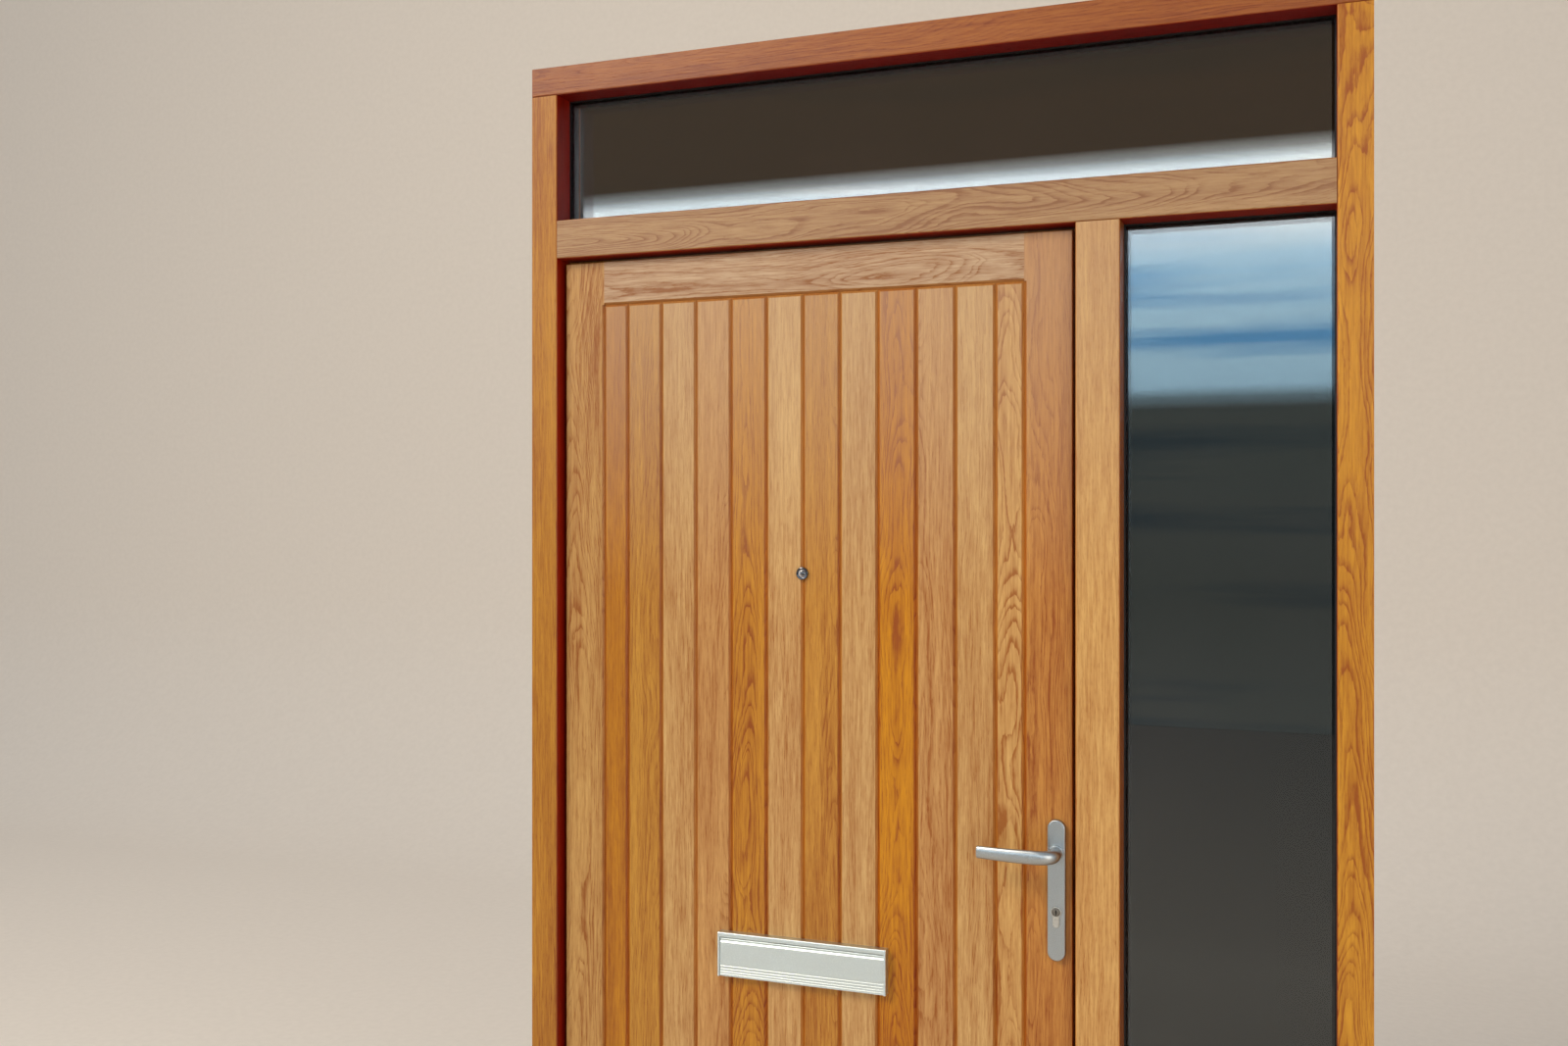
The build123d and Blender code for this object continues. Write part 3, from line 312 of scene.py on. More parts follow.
def oak_piece(name, tone, cut, figure, side=1, along="z", pale=0.45, reveal_shade="dcae74"):
    """Gives one timber its own oak. Its side faces are darker: partly lacquer gathered in the V
    joints, and painted shade on the joints and reveals.

    Towards the top it is mixed with a painted sheen, paler and rosier, standing for the sky on its
    lacquer.
    """
    made, tree, shader = material(
        f"oak_{name}", Coat_Weight=0.12, Coat_Roughness=0.3, Specular_IOR_Level=0.35
    )
    low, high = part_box(name)
    middle = (low + high) / 2
    (across, depth), (lean_across, lean_depth) = cuts[cut]
    pith = (middle.x if along == "z" else middle.z) + side * across
    places = node(tree, "TexCoord")
    x, y, z = node(tree, "SeparateXYZ", places.outputs["Object"]).outputs
    grain = node(tree, "CombineXYZ", *((x, y, z) if along == "z" else (z, y, x)))
    group = tree.nodes.new("ShaderNodeGroup")
    group.node_tree = oak
    tree.links.new(grain.outputs[0], group.inputs["Grain"])
    group.inputs["Seed"].default_value = (0, 0, seed_step * len(bpy.data.materials))
    halfway = middle.z if along == "z" else middle.x
    group.inputs["Pith"].default_value = (pith, low.y + depth, halfway)
    group.inputs["Lean"].default_value = (side * lean_across, lean_depth, 0)
    group.inputs["Figure"].default_value = figure
    group.inputs["Tone"].default_value = linear(tone)
    # Painted sheen: a pale rose colour mixed in towards the top
    painted_sheen_share = node(tree, "MapRange", z, sheen_starts_at, sheen_full_at, 0.0, pale)
    colour = node(tree, "Mix", painted_sheen_share, group.outputs["Color"], "b89c80", data_type="RGBA")
    normal = node(tree, "SeparateXYZ", places.outputs["Normal"])
    # Painted shade by how far a face turns from the front: reveals take the full tint, the slopes of
    # the V joints a paler one that is partly their stain and partly painted shade, and flat faces
    # none
    flatness = node(tree, "Math", normal.outputs["Y"], operation="ABSOLUTE")
    tint = node(
        tree, "ValToRGB", flatness,
        stops=((0.0, reveal_shade), (0.5, reveal_shade), (0.68, "edca90"), (0.85, "edca90"), (0.97, "ffffff")),
    )
    beside = node(tree, "Math", x, operation="ABSOLUTE")
    inside = node(tree, "Math", beside, half_width, operation="LESS_THAN")
    below = node(tree, "Math", z, top, operation="LESS_THAN")
    inside = node(tree, "Math", inside, below, operation="MULTIPLY")
    # Multiplies in the painted shade of the reveals and joint slopes, inside the frame only
    joint_and_reveal_shade = node(
        tree, "Mix", inside, colour.outputs[2], tint, data_type="RGBA", blend_type="MULTIPLY"
    )
    bump = node(tree, "Bump", Strength=0.35, Distance=0.0004, Height=group.outputs["Height"])
    tree.links.new(joint_and_reveal_shade.outputs[2], shader.inputs["Base Color"])
    tree.links.new(group.outputs["Roughness"], shader.inputs["Roughness"])
    tree.links.new(bump.outputs[0], shader.inputs["Normal"])
    dress(name, made, bevel=timber_arris)


# Columns: name, tone, cut, figure, side, along, share of painted sheen at the top, and the reveal's
# painted shade colour
for name, tone, cut, figure, side, along, pale, reveal_shade in (
    ("left_jamb", "b07622", "straight", 0.5, 1, "z", 0.0, "d43c0a"),
    ("right_jamb", "be8121", "crown", 1.1, -1, "z", 0.0, "c8702c"),
    ("mullion", "ca9a5b", "straight", 0.3, 1, "z", 0.4, "c8905a"),
    # The head's deep tone is partly painted shade, as under a porch roof
    ("frame_head", "98561f", "side", 0.6, 1, "x", 0.0, "d43c0a"),
    ("transom", "a17a50", "crown", 1.3, 1, "x", 0.2, "d43c0a"),
    ("sill", "a8693a", "side", 0.4, 1, "x", 0.0, "c8905a"),
    ("glazing_beads", "bd8b52", "straight", 0.3, 1, "z", 0.0, "c8905a"),
):
    oak_piece(name, tone, cut, figure, side, along, pale, reveal_shade)

# Leaf: stiles and rails round tongued and grooved boards with V joints, outdoors and indoors
# All of it is the same lacquered oak, with each board sawn from another part of a tree
# The last column is each piece's share of painted sheen towards the top
for name, tone, cut, figure, side, along, pale in (
    ("hinge_stile", "b98c50", "crown", 0.8, -1, "z", 0.0),
    ("lock_stile", "ba7d39", "side", 0.7, -1, "z", 0.45),
    # The top rail's own paler, greyer tone holds painted sheen as well
    ("top_rail", "b49373", "side", 0.7, -1, "x", 0.0),
    ("bottom_rail", "b87e42", "side", 0.45, 1, "x", 0.0),
    ("weather_board", "b87e42", "side", 0.45, 1, "x", 0.0),
    ("inner_boards", "bd8b52", "straight", 0.35, 1, "z", 0.0),
    ("board_01", "b07012", "straight", 0.3, 1, "z", 0.45),
    ("board_02", "b37c2c", "side", 0.5, 1, "z", 0.45),
    ("board_03", "c2975f", "straight", 0.3, 1, "z", 0.45),
    ("board_04", "bd8b52", "side", 0.4, 1, "z", 0.45),
    ("board_05", "b67820", "crown", 1.0, -1, "z", 0.45),
    ("board_06", "c59961", "straight", 0.2, -1, "z", 0.45),
    ("board_07", "ba8132", "side", 0.5, 1, "z", 0.45),
    ("board_08", "c49962", "straight", 0.25, 1, "z", 0.45),
    ("board_09", "bc780c", "crown", 0.95, 1, "z", 0.45),
    ("board_10", "c29158", "side", 0.45, -1, "z", 0.45),
    ("board_11", "c4985f", "straight", 0.35, -1, "z", 0.45),
    ("board_12", "c7985a", "crown", 1.0, 1, "z", 0.35),
):
    oak_piece(name, tone, cut, figure, side, along, pale)

# Glass: sealed units of two 4 mm float panes, bedded in rubber in the frame's rebates
# Float glass is clear and flat, and each of its four faces mirrors the sky faintly
glass, tree, shader = material("float_glass", Roughness=0.0, Transmission_Weight=1.0, IOR=1.5)
waves = streaks(tree, node(tree, "TexCoord").outputs["Object"], 300, 300)
tone = node(tree, "ValToRGB", waves, stops=((0.0, "f2f7f5"), (0.5, "f8fbfa")))
tree.links.new(tone.outputs[0], shader.inputs["Base Color"])
for name in ("fanlight_glass", "sidelight_glass"):
    dress(name, glass)

# Spacers: folded aluminium tubes that hold the panes of a sealed unit apart
# Bare rolled metal, dull grey, with faint marks from folding
spacer, tree, shader = material("spacer_aluminium", Metallic=1.0, Roughness=0.5)
marks = streaks(tree, node(tree, "TexCoord").outputs["Object"], 2, 2)
tone = node(tree, "ValToRGB", marks, stops=((0.0, "b4b8ba"), (0.5, "c3c6c7")))
tree.links.new(tone.outputs[0], shader.inputs["Base Color"])
dress("glass_spacers", spacer)

# Gaskets and packers: extruded black EPDM rubber, and moulded nylon blocks under the glass
# The rubber is matt black with a fine grain, and the nylon is a little smoother and greyer
for name, roughness, grain, colours, nodes in (
    ("black_epdm", 0.55, 0.6, ("0d0d0e", "17171a"), ("door_gasket", "glazing_gaskets")),
    ("black_nylon", 0.42, 1.5, ("131314", "1d1d1f"), ("glazing_packers",)),
):
    moulded, tree, shader = material(name, Roughness=roughness)
    marks = streaks(tree, node(tree, "TexCoord").outputs["Object"], grain, grain)
    tone = node(tree, "ValToRGB", marks, stops=((0.0, colours[0]), (0.5, colours[1])))
    bump = node(tree, "Bump", Strength=0.2, Distance=0.0001, Height=marks)
    tree.links.new(tone.outputs[0], shader.inputs["Base Color"])
    tree.links.new(bump.outputs[0], shader.inputs["Normal"])
    for dressed in nodes:
        dress(dressed, moulded)


# Hinges: steel butts let into the jamb and the leaf, each half held by four screws
# Rolled steel, brushed along its length, so it gives a soft upright sheen
# The marks on this and the next metals are 0.4 to 0.8 mm wide, coarser than real, so that they show
def metal(name, colours, roughness, size, depth=0.00002):
    """Metal whose finish leaves marks of a real size across, in depth and along, in mm."""
    made, tree, shader = material(name, Metallic=1.0)
    stretch = tuple(half_metre / length for length in size)
    patchiness = 0.12
    place = node(tree, "TexCoord").outputs["Object"]
    placed = node(tree, "VectorMath", place, stretch, operation="MULTIPLY")
    marks = node(tree, "TexNoise", placed, Scale=1.0, Detail=3.0, normalize=False)
    tone = node(tree, "ValToRGB", marks, stops=((0.0, colours[0]), (0.5, colours[1])))
    rough = node(tree, "Math", marks, patchiness, roughness, operation="MULTIPLY_ADD")
    bump = node(tree, "Bump", Strength=0.3, Distance=depth, Height=marks)
    tree.links.new(tone.outputs[0], shader.inputs["Base Color"])
    tree.links.new(rough.outputs[0], shader.inputs["Roughness"])
    tree.links.new(bump.outputs[0], shader.inputs["Normal"])
    return made


leaf_low, leaf_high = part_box("hinge_stile")
leaf_middle = (leaf_low.y + leaf_high.y) / 2


def piece(name, shape, material, body, replaced=(), indoors=False):
    """Object from a bmesh, on its body. Indoors turns it over to the leaf's inner side."""
    if indoors:
        for vertex in shape.verts:
            vertex.co.y = 2 * leaf_middle - vertex.co.y
    bmesh.ops.recalc_face_normals(shape, faces=shape.faces)
    data = bpy.data.meshes.new(name)
    shape.to_mesh(data)
    shape.free()
    data.polygons.foreach_set("use_smooth", [True] * len(data.polygons))
    data.set_sharp_from_angle(angle=math.radians(25))
    data.materials.append(material)
    made = bpy.data.objects.new(name, data)
    scene.collection.objects.link(made)
    flats = made.modifiers.new("flat_faces", "WEIGHTED_NORMAL")
    flats.keep_sharp = True
    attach(made, body)
    if replaced:
        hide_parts(*replaced)
    return made


def screws(name, places, out, radius, proud, material, body):
    """Screw heads with a star recess, seated on a surface that faces one way."""
    shape = bmesh.new()
    turn = Vector((0, 0, 1)).rotation_difference(Vector(out))
    steps, points_of_star, star_depth = 24, 6, 0.14
    # Each ring's radius, its height, and 1 where the star recess shapes it
    outline = (
        (radius, 0.0, 0), (radius, 0.35 * proud, 0), (0.8 * radius, proud, 0),
        (0.5 * radius, proud, 1), (0.5 * radius, 0.2 * proud, 1),
    )
    for place in places:
        rows = []
        for ring, height, star in outline:
            row = []
            for i in range(steps):
                angle = 2 * math.pi * i / steps
                reach = ring * (1 + star_depth * star * math.cos(points_of_star * angle))
                point = Vector((reach * math.cos(angle), reach * math.sin(angle), height))
                row.append(shape.verts.new(Vector(place) + turn @ point))
            rows.append(row)
        for a, b in zip(rows, rows[1:]):
            for i in range(steps):
                shape.faces.new((a[i - 1], a[i], b[i], b[i - 1]))
        shape.faces.new(rows[0])
        shape.faces.new(rows[-1])
    return piece(name, shape, material, body)


steel = metal("brushed_steel", ("9fa0a0", "b4b4b3"), 0.36, (0.6, 0.6, 25))
steel_arris, flush = 0.0003, 0.0002
for name in ("hinge_frame_leaves", "hinge_door_leaves"):
    dress(name, steel, bevel=steel_arris)
low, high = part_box("hinge_frame_leaves")
hinge_length, hinge_gap, hinge_screw_radius = 0.100, 0.0006, 0.0042
hinge_face = (low.x + high.x - hinge_gap) / 2
screw_pattern = ((-0.038, 0.066), (-0.013, 0.078), (0.013, 0.066), (0.038, 0.078))
hinge_places = [
    (height + rise, depth)
    for height in (low.z + hinge_length / 2, (low.z + high.z) / 2, high.z - hinge_length / 2)
    for rise, depth in screw_pattern
]
for name, face, out, body in (
    ("hinge_frame_screws", hinge_face, (1, 0, 0), "root"),
    ("hinge_door_screws", hinge_face + hinge_gap, (-1, 0, 0), "door"),
):
    places = [(face, y, z) for z, y in hinge_places]
    screws(name, places, out, hinge_screw_radius, flush, steel, body)

# Lock: a multipoint lock let into the stile, with its bolts, rollers, rods and face plate
# The keeps on the mullion and the face plate are brushed steel strips, screwed in flush
for name in (
    "lock_case", "lock_faceplate", "lock_keeps", "latch_bolt", "deadbolt", "locking_rods",
    "latch_follower", "spindle", "lock_cam",
):
    dress(name, steel, bevel=steel_arris)
lock_screw_radius = 0.0036
faceplate_screw_heights = (0.395, 0.70, 0.94, 1.20, 1.45, 1.765)
keep_screw_heights = (0.5585, 0.6195, 1.027, 1.139, 1.5585, 1.6195)
low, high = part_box("lock_faceplate")
places = [(high.x, (low.y + high.y) / 2, z) for z in faceplate_screw_heights]
screws(
    "faceplate_screws", places, (1, 0, 0), lock_screw_radius, flush, steel, "door"
)
low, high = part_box("lock_keeps")
places = [(low.x, (low.y + high.y) / 2, z) for z in keep_screw_heights]
screws("keep_screws", places, (-1, 0, 0), lock_screw_radius, flush, steel, "root")

# Threshold: an extruded aluminium cap fixed along the sill's stop, where feet would wear the oak
# Mill finish is dull and grey, with fine lines along its length from the die
mill = metal("mill_aluminium", ("b2b5b7", "c2c4c5"), 0.45, (40, 0.8, 0.8))
threshold_arris = 0.0003
dress("threshold", mill, bevel=threshold_arris)


# Handle plates: cast aluminium with a rounded edge, bored for the lever and the cylinder
# Bead blasting and a satin anodised finish give an even blue-grey with a bright rounded rim
def bored(shape, rings, holes):
    """Adds a solid across Y through outer rings, each a depth and a loop of (x, z), with holes."""
    front, back = rings[0][0], rings[-1][0]
    walls = [[(y, loop) for y, loop in rings]]
    walls += [[(front, loop), (back, loop)] for loop in holes]
    ends = ([], [])
    for wall in walls:
        rows = [[shape.verts.new((x, y, z)) for x, z in loop] for y, loop in wall]
        for a, b in zip(rows, rows[1:]):
            for i in range(len(a)):
                shape.faces.new((a[i - 1], a[i], b[i], b[i - 1]))
        for end, row in zip(ends, (rows[0], rows[-1])):
            end += [shape.edges.get((row[i - 1], row[i])) for i in range(len(row))]
    for end in ends:
        bmesh.ops.triangle_fill(shape, use_beauty=True, use_dissolve=False, edges=end)


def slot_loop(x, z, half_width, half_height, steps=24):
    """Points round an upright slot with round ends, or a circle if both halves are equal."""
    points = []
    for i in range(2 * steps):
        angle = math.pi * (i + 0.5) / steps
        lift = math.copysign(half_height - half_width, math.sin(angle))
        points.append(
            (x + half_width * math.cos(angle), z + lift + half_width * math.sin(angle))
        )
    return points


def rounded_rings(front, back, edge, loop_at, steps=5):
    """Rings of a solid with a rounded front edge. loop_at gives the loop for an inset."""
    rings = []
    for i in range(steps + 1):
        angle = math.pi / 2 * i / steps
        inset = edge * (1 - math.sin(angle))
        rings.append((front + edge * (1 - math.cos(angle)), loop_at(inset)))
    return rings + [(back, loop_at(0))]


def cylinder_loop(x, z, grow):
    """Points round the outline of a profile cylinder: a round body with a narrow leg below."""
    round_radius, leg_radius, total, round_steps, leg_steps = 0.0085, 0.005, 0.033, 32, 12
    body, leg = round_radius + grow, leg_radius + grow
    foot = z + round_radius - total + leg_radius
    gap = math.asin(leg / body)
    points = []
    for i in range(round_steps + 1):
        angle = -math.pi / 2 + gap + (2 * math.pi - 2 * gap) * i / round_steps
        points.append((x + body * math.cos(angle), z + body * math.sin(angle)))
    for i in range(leg_steps + 1):
        angle = math.pi * (1 + i / leg_steps)
        points.append((x + leg * math.cos(angle), foot + leg * math.sin(angle)))
    return points


satin = metal("satin_aluminium", ("a9adad", "b9bdbe"), 0.36, (0.5, 0.5, 0.5))
plate_low, plate_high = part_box("outer_backplate")
low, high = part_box("spindle")
spindle_x, spindle_z = (low.x + high.x) / 2, (low.z + high.z) / 2
low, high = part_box("key_plug")
cylinder_z = (low.z + high.z) / 2
plate_edge, spindle_hole, cylinder_play = 0.002, 0.0091, 0.0003
for name, indoors in (("outer_backplate", False), ("inner_backplate", True)):
    shape = bmesh.new()
    half_plate = (plate_high - plate_low) / 2
    middle = (plate_high + plate_low) / 2
    rings = rounded_rings(
        plate_low.y, plate_high.y, plate_edge,
        lambda inset: slot_loop(middle.x, middle.z, half_plate.x - inset, half_plate.z - inset),
    )
    holes = [
        slot_loop(spindle_x, spindle_z, spindle_hole, spindle_hole),
        cylinder_loop(spindle_x, cylinder_z, cylinder_play),
    ]
    bored(shape, rings, holes)
    piece(f"{name}_cast", shape, satin, "door", [name], indoors)
plate_screw_inset, plate_bolt_radius, bolt_proud = 0.012, 0.0042, 0.0012
places = [
    (spindle_x, 2 * leaf_middle - plate_low.y, z)
    for z in (plate_low.z + plate_screw_inset, plate_high.z - plate_screw_inset)
]
screws(
    "plate_bolts", places, (0, 1, 0), plate_bolt_radius, bolt_proud, steel, "door",
)


# Levers: one bar of the same satin aluminium, turned and bent, on a collar against the plate
# Its front is crowned, so the sky lies on it as one soft bright band
def turned(shape, x, z, outline, steps=48):
    """Adds a turned form about a line along Y. The outline's points are (radius, y)."""
    rows = []
    for radius, y in outline:
        angles = [2 * math.pi * i / steps for i in range(steps)]
        circle = [(x + radius * math.cos(a), y, z + radius * math.sin(a)) for a in angles]
        rows.append([shape.verts.new(point) for point in circle])
    for a, b in zip(rows, rows[1:]):
        for i in range(steps):
            shape.faces.new((a[i - 1], a[i], b[i], b[i - 1]))
    shape.faces.new(rows[0])
    shape.faces.new(rows[-1])


lever_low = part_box("outer_lever")[0]
collar_gap, boss_radius, collar_radius, neck_seat = 0.0003, 0.0090, 0.0120, 0.001
collar_face = plate_low.y - collar_gap
neck_radius, half_height, half_thickness = 0.0105, 0.0110, 0.00525
half_tip_height, half_tip_thickness, tip_round = 0.00965, 0.0045, 0.0012
bend_width, bend_depth, lever_bow, bend_swell = 0.030, 0.018, 0.009, 0.0004
bend_steps, bar_rows, tip_rows = 12, 13, 5
round_section, bar_section = 2.0, 2.4
bar_y = lever_low.y + half_thickness + bend_swell
bend_x = spindle_x - bend_width
bar_length = bend_x - lever_low.x
# Each station is x, y, half the height, half the thickness and how square the section is
stations = [(spindle_x, collar_face + neck_seat, neck_radius, neck_radius, round_section)]
for i in range(bend_steps + 1):
    share = i / bend_steps
    turn = math.pi / 2 * share
    stations.append(
        (
            bend_x + bend_width * math.cos(turn),
            bar_y + bend_depth - bend_depth * math.sin(turn),
            neck_radius + share * (half_height - neck_radius),
            neck_radius + share * (half_thickness - neck_radius),
            round_section + share * (bar_section - round_section),
        )
    )
tip_share = tip_round / bar_length
for i in range(1, bar_rows + tip_rows + 1):
    turn = math.pi / 2 * max(0, i - bar_rows) / tip_rows
    share = min(i, bar_rows) / bar_rows * (1 - tip_share) + tip_share * math.sin(turn)
    inset = tip_round * (1 - math.cos(turn))
    stations.append(
        (
            bend_x - share * bar_length,
            bar_y + lever_bow * share**2,
            half_height + share * (half_tip_height - half_height) - inset,
            half_thickness + share * (half_tip_thickness - half_thickness) - inset,
            bar_section,
        )
    )
section_steps = 40
for name, indoors in (("outer_lever", False), ("inner_lever", True)):
    shape = bmesh.new()
    rows = []
    for n, (x, y, up, deep, square) in enumerate(stations):
        before, after = stations[max(n - 1, 0)], stations[min(n + 1, len(stations) - 1)]
        ahead = Vector((after[0] - before[0], after[1] - before[1])).normalized()
        row = []
        for i in range(section_steps):
            angle = 2 * math.pi * i / section_steps
            rise = up * math.copysign(abs(math.cos(angle)) ** (2 / square), math.cos(angle))
            side = deep * math.copysign(abs(math.sin(angle)) ** (2 / square), math.sin(angle))
            row.append(
                shape.verts.new((x - side * ahead.y, y + side * ahead.x, spindle_z + rise))
            )
        rows.append(row)
    for a, b in zip(rows, rows[1:]):
        for i in range(section_steps):
            shape.faces.new((a[i - 1], a[i], b[i], b[i - 1]))
    shape.faces.new(rows[0])
    shape.faces.new(rows[-1])
    collar = (
        (boss_radius, leaf_low.y), (boss_radius, collar_face), (collar_radius, collar_face),
        (collar_radius, collar_face - 0.0030), (0.0117, collar_face - 0.0037),
        (0.0110, collar_face - 0.0040),
    )
    turned(shape, spindle_x, spindle_z, collar)
    piece(f"{name}_bar", shape, satin, "handle", [name], indoors)

# Cylinder: a profile cylinder in nickel-plated brass, with its plug, and a thumbturn indoors
# The body is pale and satin; the plug's darker colour is painted shade, as in a recess, with a dark
# slot and a ring round it
nickel = metal("nickel_plate", ("c6c4bc", "d4d2cb"), 0.34, (0.4, 0.4, 0.4))
# Darker nickel for the plug: painted shade
plug_nickel_shade = metal("nickel_painted_shade", ("77726a", "918b80"), 0.4, (0.5, 0.5, 0.5))
cylinder_edge, plug_edge, plug_play, cam_play = 0.0006, 0.0008, 0.0003, 0.0001
dress("thumbturn", nickel, bevel=cylinder_edge)
cylinder_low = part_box("lock_cylinder")[0]
plug_low, plug_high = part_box("key_plug")
cam_low, cam_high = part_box("lock_cam")
plug_radius = (plug_high.x - plug_low.x) / 2
plug_hole = plug_radius + plug_play
for name, inner_end, replaced, indoors in (
    ("cylinder_outer_half", cam_low.y - cam_play, ["lock_cylinder"], False),
    ("cylinder_inner_half", 2 * leaf_middle - cam_high.y - cam_play, [], True),
):
    shape = bmesh.new()
    rings = rounded_rings(
        cylinder_low.y, inner_end, cylinder_edge,
        lambda inset: cylinder_loop(spindle_x, cylinder_z, -inset), steps=3,
    )
    bored(shape, rings, [slot_loop(spindle_x, cylinder_z, plug_hole, plug_hole)])
    piece(name, shape, nickel, "door", replaced, indoors)
keyway = [
    (-0.0009, -0.0045), (0.0004, -0.0045), (0.0004, -0.0020), (0.0012, -0.0012),
    (0.0012, 0.0008), (0.0006, 0.0014), (0.0006, 0.0030), (-0.0009, 0.0030),
]
shape = bmesh.new()
rings = rounded_rings(
    plug_low.y, plug_high.y, plug_edge,
    lambda inset: slot_loop(spindle_x, cylinder_z, plug_radius - inset, plug_radius - inset),
    steps=3,
)
bored(shape, rings, [[(spindle_x + x, cylinder_z + z) for x, z in keyway]])
piece("key_plug_turned", shape, plug_nickel_shade, "key", ["key_plug"])


# Letterplate: extruded aluminium with a hood and cheeks, and a hung flap with grooves at its foot
# Silver anodising gives an even pale blue-grey, with bright edges where it turns to the sky
def rect_loop(left, right, bottom, top):
    """Corners of an upright rectangle."""
    return [(left, bottom), (right, bottom), (right, top), (left, top)]


def extruded(shape, outline, ends):
    """Adds a straight length along X of an outline of (y, z) points."""
    rows = [[shape.verts.new((x, y, z)) for y, z in outline] for x in ends]
    for i in range(len(outline)):
        shape.faces.new((rows[0][i - 1], rows[0][i], rows[1][i], rows[1][i - 1]))
    shape.faces.new(rows[0])
    shape.faces.new(rows[1])


anodised = metal("silver_anodised", ("d3dcdb", "dde5e3"), 0.42, (0.6, 0.6, 0.6))
letter_low, letter_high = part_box("letterplate")
flap_low, flap_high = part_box("letter_flap")
sleeve_low, sleeve_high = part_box("letter_sleeve")
hood_height, cheek, base, crisp, hood_round = 0.008, 0.0035, 0.003, 0.0003, 0.0018
hood_bottom = letter_high.z - hood_height
hood = [
    (letter_high.y, hood_bottom), (letter_low.y + crisp, hood_bottom),
    (letter_low.y, hood_bottom + crisp),
]
hood_steps = 6
for i in range(hood_steps + 1):
    angle = math.pi / 2 * i / hood_steps
    hood.append(
        (
            letter_low.y + hood_round * (1 - math.cos(angle)),
            letter_high.z - hood_round * (1 - math.sin(angle)),
        )
    )
hood.append((letter_high.y, letter_high.z))
barrel, barrel_setback = 0.0023, 0.0003
rod_y = flap_low.y + barrel + barrel_setback
rod_z = flap_high.z - barrel - barrel_setback
flap_back = rod_y
flap = [(flap_back, flap_low.z), (flap_low.y + crisp, flap_low.z), (flap_low.y, flap_low.z + crisp)]
line_heights = (0.0045, 0.0085, 0.0130, 0.0180)
line_depth, line_slope, line_top = 0.0003, 1.4, 1.1
rebate_height, rebate_depth, bevel_depth, bevel_slope = 0.0600, 0.0023, 0.0014, 1.7
for height in line_heights:
    z = letter_low.z + height
    flap += [
        (flap_low.y, z - line_slope * line_depth), (flap_low.y + line_depth, z),
        (flap_low.y + line_depth, z + line_depth), (flap_low.y, z + line_top * line_depth),
    ]
z = letter_low.z + rebate_height
flap += [
    (flap_low.y, z - bevel_slope * bevel_depth), (flap_low.y + bevel_depth, z),
    (flap_low.y + rebate_depth, z),
]
barrel_start, barrel_turn, barrel_steps = 260, 340, 20
for i in range(barrel_steps + 1):
    angle = math.radians(barrel_start - barrel_turn * i / barrel_steps)
    flap.append((rod_y + barrel * math.cos(angle), rod_z + barrel * math.sin(angle)))
for side, plate_node, flap_node, indoors in (
    ("outer", "letterplate", "letter_flap", False),
    ("inner", "inner_letterplate", "inner_letter_flap", True),
):
    shape = bmesh.new()
    extruded(shape, hood, (letter_low.x, letter_high.x))
    for left in (letter_low.x, letter_high.x - cheek):
        rings = rounded_rings(
            letter_low.y, letter_high.y, crisp,
            lambda inset: rect_loop(
                left + inset, left + cheek - inset, letter_low.z + inset, hood_bottom
            ),
            steps=2,
        )
        bored(shape, rings, [])
    ring = rect_loop(letter_low.x + cheek, letter_high.x - cheek, letter_low.z, hood_bottom)
    hole = rect_loop(sleeve_low.x, sleeve_high.x, sleeve_low.z, sleeve_high.z)
    bored(shape, [(letter_high.y - base, ring), (letter_high.y, ring)], [hole])
    piece(
        f"{side}_letter_frame", shape, anodised, "door", [plate_node], indoors
    )
    shape = bmesh.new()
    extruded(shape, flap, (flap_low.x, flap_high.x))
    piece(
        f"{side}_letter_flap", shape, anodised, f"{side}_flap", [flap_node],
        indoors,
    )
dress("letter_sleeve", anodised)
dress("flap_rods", steel)
letter_bolt_radius, letter_bolt_gap = 0.0035, 0.012
places = [
    (x, 2 * leaf_middle - letter_high.y + base, (letter_low.z + letter_high.z) / 2)
    for x in (sleeve_low.x - letter_bolt_gap, sleeve_high.x + letter_bolt_gap)
]
screws(
    "letterplate_bolts", places, (0, 1, 0), letter_bolt_radius, bolt_proud, steel, "door",
)
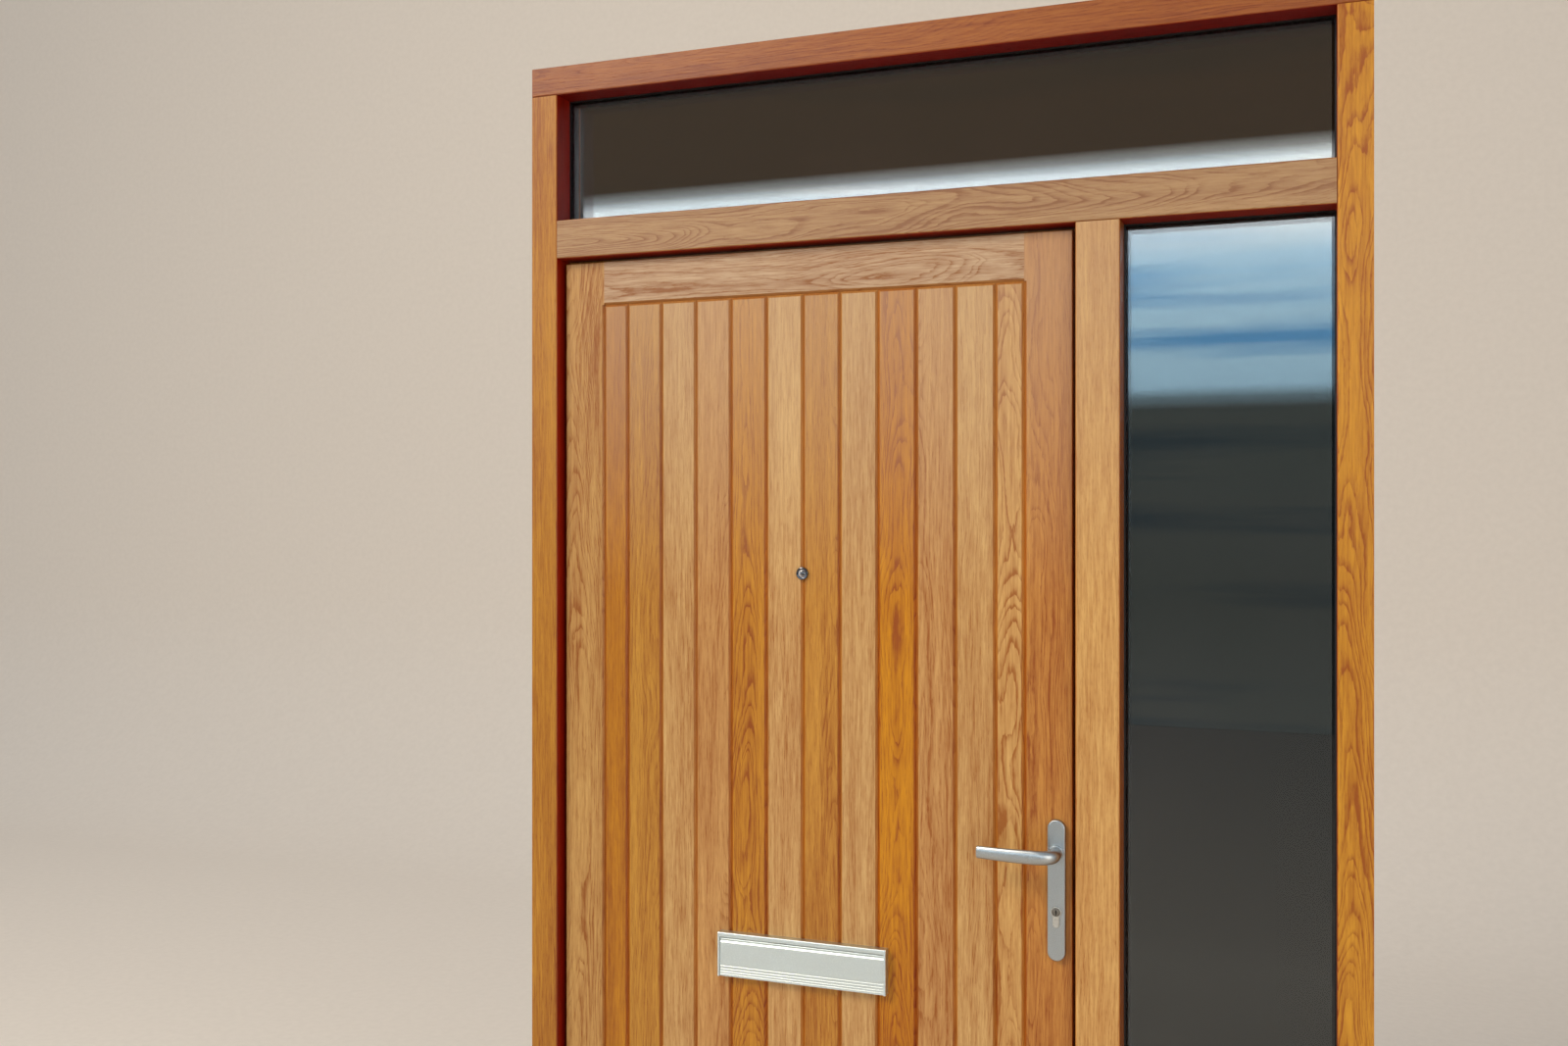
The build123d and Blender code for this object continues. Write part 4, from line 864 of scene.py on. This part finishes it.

# Viewer: a brass tube turned, polished and chromed, screwed through the leaf, with a glass lens
# The chrome's colour is darkened, a painted dark reflection, so it shows as a dark ring round the
# domed lens, which has a painted dark pupil where it faces the eye and a painted pale reflection
# towards its rim
# Chrome darkened to a grey: a painted dark reflection
chrome = metal("polished_chrome", ("5c5c61", "6e6e73"), 0.12, (0.8, 0.8, 0.8), 0.000002)
low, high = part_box("door_viewer")
viewer_x, viewer_z = (low.x + high.x) / 2, (low.z + high.z) / 2
viewer_radius = (high.x - low.x) / 2
tube_radius, lens_radius, lens_seat, dome, dome_steps = 0.0069, 0.0066, 0.0019, 0.0030, 8
shape = bmesh.new()
turned(
    shape, viewer_x, viewer_z,
    (
        (lens_radius, low.y + 0.0022), (lens_radius, low.y + 0.0012), (0.0071, low.y + 0.0004),
        (0.0080, low.y), (0.0092, low.y), (0.0100, low.y + 0.0004),
        (viewer_radius, low.y + 0.0014), (viewer_radius, leaf_low.y), (tube_radius, leaf_low.y),
        (tube_radius, leaf_high.y), (viewer_radius, leaf_high.y), (viewer_radius, high.y - 0.0004),
        (viewer_radius - 0.0006, high.y), (0.0050, high.y), (0.0044, high.y - 0.0008),
    ),
)
piece("viewer_tube", shape, chrome, "door", ["door_viewer"])
lens_glass, tree, shader = material("lens_glass", Roughness=0.04, IOR=1.9, Coat_Weight=0.5)
# Coloured by the angle it is seen at: a dark pupil facing the eye, painted shade of the tube, and a
# pale rim, painted reflection
falloff = node(tree, "LayerWeight", Blend=0.35).outputs["Facing"]
tone = node(
    tree, "ValToRGB", falloff,
    stops=((0.0, "0d0e12"), (0.05, "46464c"), (0.2, "b9b8bd"), (0.5, "d8d7db")),
)
tree.links.new(tone.outputs[0], shader.inputs["Base Color"])
shape = bmesh.new()
outline = [(lens_radius, low.y + lens_seat)]
for i in range(1, dome_steps):
    angle = math.pi / 2 * i / dome_steps
    outline.append((lens_radius * math.cos(angle), low.y + lens_seat - dome * math.sin(angle)))
turned(shape, viewer_x, viewer_z, outline)
piece("viewer_lens", shape, lens_glass, "door")

# Core: pressed wood-fibre board, glued between the outdoor and the indoor boards
# It is matt and straw brown, with short strands that lie all one way
fibre_board, tree, shader = material("wood_fibre_board", Roughness=0.9)
strands = streaks(tree, node(tree, "TexCoord").outputs["Object"], 0.8, 6, 3)
tone = node(tree, "ValToRGB", strands, stops=((0.0, "a88d60"), (0.5, "c4aa7c")))
tree.links.new(tone.outputs[0], shader.inputs["Base Color"])
bump = node(tree, "Bump", Strength=0.4, Distance=0.0004, Height=strands)
tree.links.new(bump.outputs[0], shader.inputs["Normal"])
dress("insulating_core", fibre_board)
